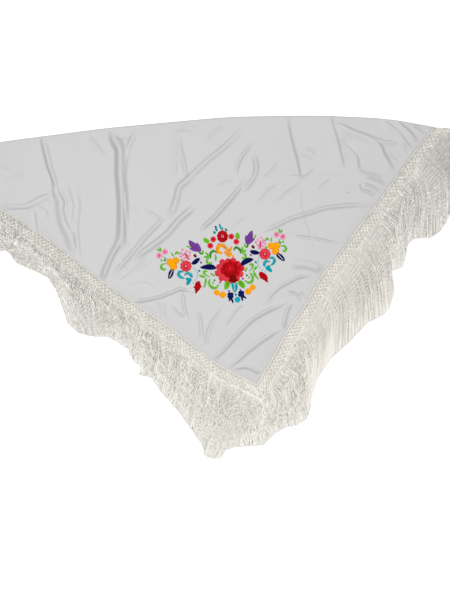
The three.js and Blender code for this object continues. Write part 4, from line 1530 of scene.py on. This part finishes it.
# %% Tie the net
# The net's third colour is a painted shade for what lies lowest, the tails that darken its gaps.
NET_COLORS = {"Light": (0.96, 0.94, 0.88), "Shade": (0.85, 0.83, 0.77), "Painted shade": (0.52, 0.48, 0.41)}
BRAID_COLORS = {**NET_COLORS, "Light": NET_COLORS["Shade"], "Shade": (0.78, 0.76, 0.70)}
NET_DEPTHS = (1.6 * MM, 3.6 * MM)
net_material = build_yarn_material("ivory net yarn", NET_COLORS, *NET_DEPTHS)
braid_material = build_yarn_material("ivory braid", BRAID_COLORS, *NET_DEPTHS)
NET_SETTINGS = {
    "braids": {"Step": 2.6 * MM, "Width": 1.9 * MM, "Wobble": 1.0 * MM, "Material": braid_material},
    "slants": {"Step": 3.6 * MM, "Width": 2.0 * MM, "Wobble": 2.3 * MM, "Material": net_material},
    "tails": {"Step": 12 * MM, "Width": 2.7 * MM, "Sides": 3, "Material": net_material},
}
net = {}
for side in SIDES:
    laid = {
        "braids": [strand for out in BRAID_OUT.values() for strand in braid_strands(side, out)],
        "slants": slanted_cords(side),
        "tails": painted_shade_tails(side),
    }
    for part, paths in laid.items():
        name = f"net_{side}_{part}"
        lines = path_object(name + "_lines", [band_points(side, *path.T) for path in paths])
        net[side, part] = grown(lines, cord_group, NET_SETTINGS[part], name)
    crossings = band_points(side, *crossing_knots(side).T)
    places = path_object(f"net_{side}_crossings", [[point] for point in crossings])
    net[side, "knots"] = grown(places, knot_group, {"Material": net_material}, f"net_{side}_knots")

for (side, part), piece in net.items():
    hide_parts(f"knotted_net_{side}")
    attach(piece, "root")
print(len(net), "pieces of net")

# %% [markdown]
# The spray is sewn in satin stitch: threads laid side by side across each petal, leaf and curl.
# Flat coloured faces with a bump would be lighter, but the real motifs stand up a little and
# show their threads. So every thread is one short arched cord that starts and ends in the
# cloth. The spray is a mirrored one, as such work is, so a motif that comes twice is written
# once, in centimetres out from the middle line and up from the rose. The cloth lies a little
# askew under it: its left half is wider, and the middle line leans.

# %% Where the spray lies
SPRAY_CENTRE = np.array((-8.0, 34.4))  # the rose, in centimetres from the fringed corner
SPRAY_ACROSS = np.array((0.988, 0.151))  # the spray's own two directions on the plan
SPRAY_UP = np.array((-0.215, 0.977))
SPRAY_HALF = {-1: 1.068, 1: 0.955}  # how wide its left and its right half are
STITCH = 0.105  # centimetres between threads
THREAD_WIDTH = 1.35 * MM
THREAD_ARCH = 0.5 * MM
LEVEL_RISE = 0.45 * MM  # how much higher a thread lies on top of others
SLANT = 0.18  # of a leaf's width, by which its threads lean


def rgb(red, green, blue):
    """A screen colour as the linear colour that a shader wants."""
    return tuple((c / 255) ** 2.2 for c in (red, green, blue))


THREAD_COLORS = {
    "rose red": rgb(196, 14, 28), "crimson": rgb(164, 6, 20), "maroon": rgb(126, 3, 14),
    "rim red": rgb(228, 66, 80), "coral": rgb(228, 70, 84),
    "pink": rgb(240, 158, 188), "deep pink": rgb(222, 96, 142),
    "orange": rgb(252, 170, 8), "rust": rgb(200, 110, 10), "navy": rgb(8, 26, 92),
    "leaf green": rgb(118, 200, 44), "deep green": rgb(58, 150, 28), "teal": rgb(12, 172, 188),
    "deep teal": rgb(0, 150, 162), "purple": rgb(132, 74, 164), "magenta": rgb(192, 72, 150),
    "pale blue": rgb(142, 196, 208),
}
stitches = {color: [] for color in THREAD_COLORS}
print(len(THREAD_COLORS), "thread colours")


def mirrored(side, across, up):
    """A point of the mirrored spray, in centimetres of the plan from the rose's heart."""
    return SPRAY_ACROSS * across * side * SPRAY_HALF[side] + SPRAY_UP * up


def sew(color, start, end, level=0):
    """One thread between two points."""
    stitches[color].append((np.asarray(start, float), np.asarray(end, float), level))


# %% Leaves, dots and curls
def leaf(color, base, tip, width, bend=0.0, fullness=0.9, level=0, hollow=0.0):
    """Threads laid across an axis; a hollow leaf has threads on its two rims only."""
    base, tip = np.asarray(base, float), np.asarray(tip, float)
    axis = tip - base
    length = np.linalg.norm(axis)
    side = np.array((-axis[1], axis[0])) / length
    slant = axis / length * width * SLANT
    count = max(3, round(length / STITCH))
    for t in (np.arange(count) + 0.5) / count:
        middle = base + axis * t + side * bend * math.sin(math.pi * t)
        half = width / 2 * math.sin(math.pi * t**fullness) ** 0.6
        reach = side * half + slant * math.sin(math.pi * t)
        if hollow and half > width * 0.3:
            sew(color, middle + reach, middle + reach * hollow, level)
            sew(color, middle - reach * hollow, middle - reach, level)
        else:
            sew(color, middle + reach, middle - reach, level)


def dot(color, centre, radius, level=0):
    """A small round knot of threads."""
    centre = np.asarray(centre, float)
    leaf(color, centre - (0, radius), centre + (0, radius), radius * 2, fullness=1, level=level)


def curl(color, path, width, level=0):
    """A curved stem, threads laid across it, thinner at both ends."""
    points = smoothed_path(np.asarray(path, float), STITCH)
    run = unit(np.gradient(points, axis=0))
    side = np.stack([-run[:, 1], run[:, 0]], axis=1)
    t = np.linspace(0.06, 0.94, len(points))
    half = width / 2 * np.sin(math.pi * t) ** 0.6
    for point, across, reach in zip(points, side, half):
        sew(color, point + across * reach, point - across * reach, level)


# %% Blooms and petals
def bloom(color, centre, inner, outer, lobes, turn=0.0, level=0, scallop=0.16, squash=1.0):
    """Threads laid like the spokes of a wheel, their outer ends in scallops."""
    count = round(2 * math.pi * outer * 0.92 / STITCH)
    for i in range(count):
        angle = 2 * math.pi * i / count
        wave = abs(math.cos(lobes * (angle - turn) / 2)) ** 0.6
        reach = outer * (1 - scallop + scallop * wave)
        way = np.array((math.cos(angle), math.sin(angle) * squash))
        sew(color, centre + way * inner, centre + way * reach, level)


def fan(color, base, heading, reach, spread, inner=0.1, level=0):
    """Threads that open out from a base like a fan, to a rounded rim: one petal."""
    count = max(5, round(2 * math.radians(spread) * reach / STITCH))
    for i in range(count):
        share = (i + 0.5) / count * 2 - 1
        angle = math.radians(heading + spread * share)
        way = np.array((math.cos(angle), math.sin(angle)))
        rim = reach - 0.16 * reach * share**4 - 0.06 * reach * share**2
        sew(color, base + way * inner, base + way * rim, level)


# %% Leaves that come twice
def half_of_spray(side):
    """A function that turns the spray's own measures into points of one half."""
    return lambda across, up: mirrored(side, across, up)


def sew_leaves(side):
    """The purple, dark blue and green leaves, and the small round knots between them."""
    at = half_of_spray(side)
    # the tall purple leaf and the green ones round it
    leaf("purple", at(6.9, 6.8), at(9.5, 10.6), 2.0, bend=-0.15 * side, fullness=0.75, level=1)
    leaf("purple", at(7.0, 7.2), at(7.4, 9.6), 1.0, fullness=0.8)
    leaf("purple", at(7.2, 7.0), at(9.8, 8.2), 1.1, fullness=0.8)
    leaf("leaf green", at(9.6, 8.3), at(10.5, 9.2), 0.55)
    leaf("leaf green", at(6.5, 5.8), at(6.2, 7.1), 0.65)
    leaf("deep green", at(6.6, 5.8), at(7.5, 6.7), 0.6)
    # small round knots of thread
    for color, across, up, radius in (
        ("maroon", 8.7, 5.75, 0.52), ("purple", 7.45, 3.45, 0.34), ("deep teal", 8.5, 1.1, 0.36),
        ("deep green", 4.85, -2.4, 0.32), ("leaf green", 5.4, -3.1, 0.32),
        ("magenta", 3.4, -3.2, 0.36), ("leaf green", 12.7, 5.05, 0.4),
        ("leaf green", 18.2, 5.9, 0.36), ("deep green", 17.3, 5.8, 0.36),
    ):
        dot(color, at(across, up), radius)
    # dark blue leaves
    leaf("navy", at(10.2, 3.5), at(7.5, 4.75), 1.4, bend=0.1 * side, fullness=1.0, level=1)
    leaf("navy", at(3.7, 1.1), at(8.0, 2.05), 1.7, bend=0.3 * side, fullness=0.8, level=1)
    leaf("navy", at(15.5, 2.9), at(17.4, 0.1), 1.5, fullness=0.9, hollow=0.16, level=1)
    # the green sprays above and below
    curl("deep green", [at(2.5, 5.6), at(3.4, 6.4), at(4.4, 5.6), at(4.5, 4.4)], 0.83)
    leaf("leaf green", at(4.9, 4.8), at(5.6, 6.4), 0.7)
    leaf("leaf green", at(4.9, 4.6), at(6.5, 5.1), 0.7)
    curl("leaf green", [at(4.6, 4.4), at(5.7, 4.0), at(5.7, 3.0), at(4.9, 2.7), at(4.6, 3.3)], 0.83)
    curl("leaf green", [at(6.3, 0.5), at(7.1, 0.7), at(7.2, -0.2), at(5.9, -1.3)], 0.83)
    leaf("leaf green", at(4.5, -1.3), at(5.6, 0.0), 0.6)
    leaf("leaf green", at(7.3, -1.1), at(8.8, -0.2), 0.75)
    curl("leaf green", [at(7.1, -1.3), at(7.4, -2.6), at(8.2, -4.2)], 0.74)
    ring = [at(6.0, -1.9), at(6.6, -3.1), at(6.0, -4.4), at(4.9, -4.7), at(3.9, -3.8)]
    curl("leaf green", ring, 0.91)


# %% Flowers and scrolls that come twice
def sew_flowers(side):
    """The coral, orange and pink flowers of one half, its scrolls and its buds."""
    at = half_of_spray(side)
    # the coral flower
    bloom("coral", at(11.85, 3.1), 0.5, 1.75, 9, level=1, scallop=0.12)
    bloom("rose red", at(11.9, 2.95), 0.1, 0.75, 5, level=2)
    bloom("pink", at(11.85, 3.1), 0.2, 0.38, 3, level=3)
    # the orange flower, its curl and its leaf
    for across, up, radius in ((15.9, 4.95, 1.15), (14.3, 5.2, 1.05), (15.3, 3.5, 1.15)):
        bloom("orange", at(across, up), 0.06, radius, 3, level=1, scallop=0.1)
    tail = [at(17.0, 4.75), at(18.3, 4.65), at(18.75, 3.7), at(18.1, 3.0), at(17.5, 3.4)]
    curl("leaf green", tail, 0.83)
    curl("leaf green", [at(14.1, 7.0), at(13.5, 7.6), at(12.8, 6.9)], 0.74)
    leaf("leaf green", at(14.6, 6.4), at(15.1, 7.8), 0.5)
    # the pink flowers at the end
    for across, up in ((16.75, 8.3), (18.55, 7.45)):
        bloom("pink", at(across, up), 0.3, 0.92, 4)
        bloom("deep pink", at(across, up), 0.04, 0.42, 3, level=1)
    leaf("leaf green", at(17.9, 8.6), at(18.9, 9.6), 0.6)
    leaf("leaf green", at(17.8, 8.7), at(17.9, 10.1), 0.55)
    curl("deep green", [at(17.6, 7.0), at(17.0, 6.3), at(16.2, 5.6)], 0.2)
    # the pink sprig
    curl("deep pink", [at(10.7, 4.9), at(11.0, 6.0), at(11.4, 7.2)], 0.83)
    for across, up in (
        (9.9, 7.0), (10.7, 7.6), (11.8, 8.1), (12.4, 7.2), (10.2, 6.1), (11.9, 6.6),
        (12.6, 6.2), (10.5, 5.2), (11.7, 5.5), (12.3, 5.1), (11.3, 4.6),
    ):
        dot("pink", at(across, up), 0.4)
    # the turquoise scrolls
    hook = [at(13.0, 1.5), at(13.9, 1.75), at(14.45, 0.85), at(13.9, 0.0), at(13.0, -0.5)]
    curl("teal", hook, 0.99)
    curl("teal", [at(12.8, 0.5), at(11.8, 1.0), at(11.0, 0.2), at(10.9, -0.6)], 1.07)
    leaf("teal", at(11.3, -0.6), at(12.8, -2.6), 1.3)
    leaf("teal", at(12.7, -0.5), at(11.0, -1.5), 0.9)
    # the red bud and the pale sprig beside it
    leaf("rose red", at(9.1, -2.0), at(10.7, -5.0), 1.9, fullness=0.9, level=1)
    leaf("rose red", at(8.7, -3.7), at(11.1, -3.5), 1.1)
    leaf("rose red", at(10.1, -4.3), at(10.9, -5.5), 0.7)
    for step in range(7):
        t = step / 6
        dot("pale blue", at(9.8 - 1.2 * math.sin(math.pi * t) + t, 2.2 - 4.4 * t), 0.24)
    # the buds beside the top flower
    for across, up in ((2.7, 9.8), (3.9, 8.05)):
        bloom("coral", at(across, up), 0.3, 0.92, 5, scallop=0.1)
        bloom("rose red", at(across, up), 0.03, 0.48, 3, level=1)
    leaf("leaf green", at(4.3, 8.8), at(5.1, 10.7), 1.5)


for half in (-1, 1):
    sew_leaves(half)
    sew_flowers(half)
print(sum(len(threads) for threads in stitches.values()), "stitches in the two halves")

# %% The rose
DARK_HEART = np.array((1.0, -2.2))  # centimetres right of and above the rose's heart


def oval(heading, wide, tall):
    """How far the rim of an oval lies from its middle, in the direction of a heading."""
    angle = math.radians(heading)
    return wide * tall / math.hypot(tall * math.cos(angle), wide * math.sin(angle))


def sew_rose():
    """Pale rim petals, then red ones, then the dark heart low on the rose's right."""
    middle = np.array((0.0, -0.25))
    for i, size in enumerate((1, 0.95, 1.03, 0.97, 1.04, 0.96, 1.02, 1, 0.94, 1.03, 0.98, 0.95)):
        heading = 12 + i * 30
        fan("rim red", middle, heading, size * oval(heading, 4.6, 3.9), 16, inner=2.0)
    for i, size in enumerate((1, 0.94, 1.02, 0.98, 1.04, 0.93, 1, 0.97)):
        heading = 8 + i * 45
        reach = size * oval(heading, 3.4, 3.0)
        fan("rose red", middle + (0.5, 0.4), heading, reach, 24, inner=1.2, level=1)
    for i, reach in enumerate((2.4, 2.2, 2.5, 2.3, 2.4, 2.2)):
        fan("crimson", middle + (0.2, 0.3), 30 + i * 60, reach, 31, inner=0.6, level=2)
    for i, reach in enumerate((1.6, 1.4, 1.7, 1.5, 1.6)):
        fan("rose red", middle + (0.0, 0.7), 60 + i * 72, reach, 37, inner=0.1, level=3)
    for i, reach in enumerate((1.9, 1.7, 1.8, 1.7)):
        fan("rose red", DARK_HEART, 225 + i * 32, reach, 18, inner=0.8, level=2)
    for heading, reach in ((150, 0.9), (195, 1.1), (235, 1.5), (275, 1.7), (315, 1.5), (0, 1.0), (60, 0.8)):
        fan("maroon", DARK_HEART, heading, reach, 23, inner=0.05, level=4)


sew_rose()
print(sum(len(threads) for threads in stitches.values()), "stitches with the rose")

# %% The motifs above and below the rose
def sew_top():
    """Points here are plain centimetres right of and above the rose's heart."""
    # the top flower
    bloom("rose red", (-2.2, 10.0), 0.6, 1.75, 9, turn=0.2, level=0, scallop=0.12, squash=1.08)
    bloom("crimson", (-2.0, 9.75), 0.1, 1.2, 6, turn=0.5, level=1)
    bloom("pink", (-2.25, 10.1), 0.24, 0.44, 3, level=2)
    # drops over it
    for x, y in ((-4.2, 12.8), (-4.0, 12.0), (-4.6, 11.2), (-1.1, 12.0)):
        dot("deep teal", (x, y), 0.44)
    leaf("teal", (-2.7, 12.3), (-3.1, 13.9), 0.62)
    leaf("teal", (-2.6, 11.8), (-2.0, 12.8), 0.55)
    # the orange scroll
    scroll = [(-2.6, 5.1), (-3.3, 5.2), (-3.7, 6.2), (-3.2, 7.2), (-2.0, 7.2), (-0.9, 6.2), (-0.4, 4.4)]
    curl("orange", scroll, 1.24, level=1)
    leaf("orange", (-0.5, 4.9), (0.7, 7.1), 0.85)
    leaf("orange", (-0.5, 3.8), (0.7, 5.2), 0.85)
    leaf("orange", (-0.6, 4.1), (-1.7, 5.8), 0.8)
    dot("orange", (-2.6, 5.1), 0.4, level=2)
    dot("orange", (0.95, 4.1), 0.4)
    dot("rust", (-3.3, 7.75), 0.28)
    curl("leaf green", [(-4.4, 4.5), (-4.2, 3.6), (-4.3, 2.6)], 0.66)


def sew_foot():
    """Points here are plain centimetres right of and above the rose's heart."""
    # leaves and the tulip under the rose
    leaf("leaf green", (-0.3, -3.3), (-1.5, -5.9), 1.8, fullness=0.8)
    leaf("deep green", (-0.4, -3.6), (-0.9, -5.0), 0.4, level=1)
    leaf("leaf green", (2.8, -3.2), (4.3, -5.6), 1.8, fullness=0.8)
    leaf("deep green", (3.0, -3.5), (3.7, -4.8), 0.4, level=1)
    leaf("teal", (1.4, -3.5), (1.4, -6.8), 1.9, fullness=0.75, hollow=0.3, level=1)
    leaf("pale blue", (1.4, -4.3), (1.4, -5.9), 0.6)
    for x, y in ((-0.25, -6.4), (3.2, -6.05)):
        dot("purple", (x, y), 0.34)
    # dark blue blossoms on their stalks, and the turquoise between them
    for x, y, foot_one, foot_two in (
        (0.2, -7.7, (-0.3, -9.4), (1.0, -10.1)), (3.4, -7.2, (3.8, -9.4), (5.0, -8.6)),
    ):
        bloom("navy", (x, y), 0.04, 1.05, 4, turn=0.8, level=1, scallop=0.25)
        leaf("navy", (x + 0.1, y - 0.5), foot_one, 0.65)
        leaf("navy", (x + 0.2, y - 0.5), foot_two, 0.65)
    dot("teal", (1.8, -7.4), 0.4)
    bloom("teal", (2.3, -8.95), 0.05, 0.9, 6, scallop=0.12)
    # orange blossoms in pairs
    for x, y, radius in ((-3.95, -6.8, 0.9), (-2.05, -7.5, 1.0), (5.5, -6.5, 1.0), (6.85, -5.25, 0.9)):
        bloom("orange", (x, y), 0.05, radius, 4, level=0, scallop=0.12)
    curl("orange", [(-3.9, -6.9), (-2.9, -7.5), (-2.0, -7.5)], 0.66)
    curl("orange", [(5.5, -6.5), (6.1, -5.9), (6.8, -5.3)], 0.66)


sew_top()
sew_foot()
print(sum(len(threads) for threads in stitches.values()), "stitches")

# %% [markdown]
# Embroidery thread is glossy, but so fine that its gloss is lost from above, and only its colour
# is left, which changes a little from stitch to stitch with the way the thread lies. So each
# colour is one plain material that mixes a light and a dark shade by the stitch's own tone.

# %% Thread the needle
DARK_THREAD = 0.72  # how dark the darkest stitch is beside the lightest
THREAD_SIDES = 3
THREAD_WOBBLE = 0.25 * MM
INTO_CLOTH = 0.3  # how deep a thread's ends go, as a share of its arch


def thread_paths(threads):
    """Three points for each thread: in, over and out, on the cloth's own heights."""
    ends = np.array([(start, end) for start, end, _ in threads])
    levels = np.array([level for _, _, level in threads]) * LEVEL_RISE
    three = np.stack([ends[:, 0], ends.mean(axis=1), ends[:, 1]], axis=1)
    plan = (three + SPRAY_CENTRE) * CM
    height = cloth_height_at(plan.reshape(-1, 2)).reshape(-1, 3) + levels[:, None]
    height += np.array((-INTO_CLOTH, 1, -INTO_CLOTH)) * THREAD_ARCH
    return [in_frame(p, h) for p, h in zip(plan, height)]


def build_thread_material(color_name):
    """Embroidery thread; each stitch has its own slight shade."""
    light = THREAD_COLORS[color_name]
    dark = tuple(DARK_THREAD * c for c in light)
    material, tree, shader = new_material(f"{color_name} thread", light, 0.6, Specular_IOR_Level=0.06)
    tone = add_node(tree, "ShaderNodeAttribute", attribute_name="tone")
    color = mix_colors(tree, tone.outputs["Fac"], dark, light)
    wire(tree, (color, shader.inputs["Base Color"]))
    return material


spray = []
for color_name, threads in stitches.items():
    name = "spray_" + color_name.replace(" ", "_")
    settings = {
        "Width": THREAD_WIDTH, "Sides": THREAD_SIDES, "Wobble": THREAD_WOBBLE,
        "Material": build_thread_material(color_name),
    }
    lines = path_object(name + "_lines", thread_paths(threads))
    spray.append(grown(lines, thread_group, settings, name))

for piece in spray:
    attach(piece, "root")
print(len(spray), "pieces of embroidery")

# %% [markdown]
# The photograph looks straight down on a white ground, in even light. One large soft lamp over
# the shawl gives that, set a little towards the top edge, so that every crease has a paler and a
# darker side. Several small lamps would do too, but they would leave hard shadows in the fringe.

# %% Floor, light and camera
VIEW_CENTRE = np.array((-0.0945, 0.2535))  # the middle of the photograph, in plan metres
VIEW_HIGH = 1.8  # metres of the plan that the photograph's height takes in
LENS = 85
SENSOR = 36
FAR_CLIP = 50
FLOOR_SIDE = 14
FLOOR_WHITE = (0.97, 0.97, 0.97)
LAMP_SIDE = 5.0
LAMP_PLACE = (-0.05, 0.85, 6.0)
LAMP_POWER = 480
WORLD_STRENGTH = 0.12


def build_floor():
    """A pale square just under the shawl."""
    half = FLOOR_SIDE / 2
    corners = [(-half, -half, -MM), (half, -half, -MM), (half, half, -MM), (-half, half, -MM)]
    floor = mesh_object("floor", corners, [(0, 1, 2, 3)], smooth=False)
    material, _, _ = new_material("pale floor", FLOOR_WHITE, 1.0, Specular_IOR_Level=0.0)
    floor.data.materials.append(material)
    return floor


def build_lamp():
    """A square lamp high over the shawl, turned to the middle of the frame."""
    data = bpy.data.lights.new("overhead soft light", "AREA")
    data.shape, data.size, data.energy = "SQUARE", LAMP_SIDE, LAMP_POWER
    lamp = placed("overhead soft light", data)
    lamp.location = LAMP_PLACE
    lamp.rotation_euler = (-Vector(LAMP_PLACE)).to_track_quat("-Z", "Y").to_euler()
    return lamp


def build_camera():
    """A camera that looks straight down and takes in what the photograph does."""
    data = bpy.data.cameras.new("straight above")
    data.lens, data.sensor_width, data.clip_end = LENS, SENSOR, FAR_CLIP
    camera = placed("straight above", data)
    camera.location = (*(VIEW_CENTRE + PLAN_ZERO), VIEW_HIGH * LENS / SENSOR)
    bpy.context.scene.camera = camera
    return camera


def build_world():
    """A faint even light from all round."""
    world = bpy.data.worlds.new("soft room")
    world.use_nodes = True
    background = world.node_tree.nodes["Background"]
    background.inputs["Color"].default_value = (1, 1, 1, 1)
    background.inputs["Strength"].default_value = WORLD_STRENGTH
    bpy.context.scene.world = world


build_floor()
build_world()
bpy.context.scene.view_settings.view_transform = "Standard"
for thing in (build_lamp(), build_camera()):
    print(thing.name, "at", [round(v, 3) for v in thing.location])
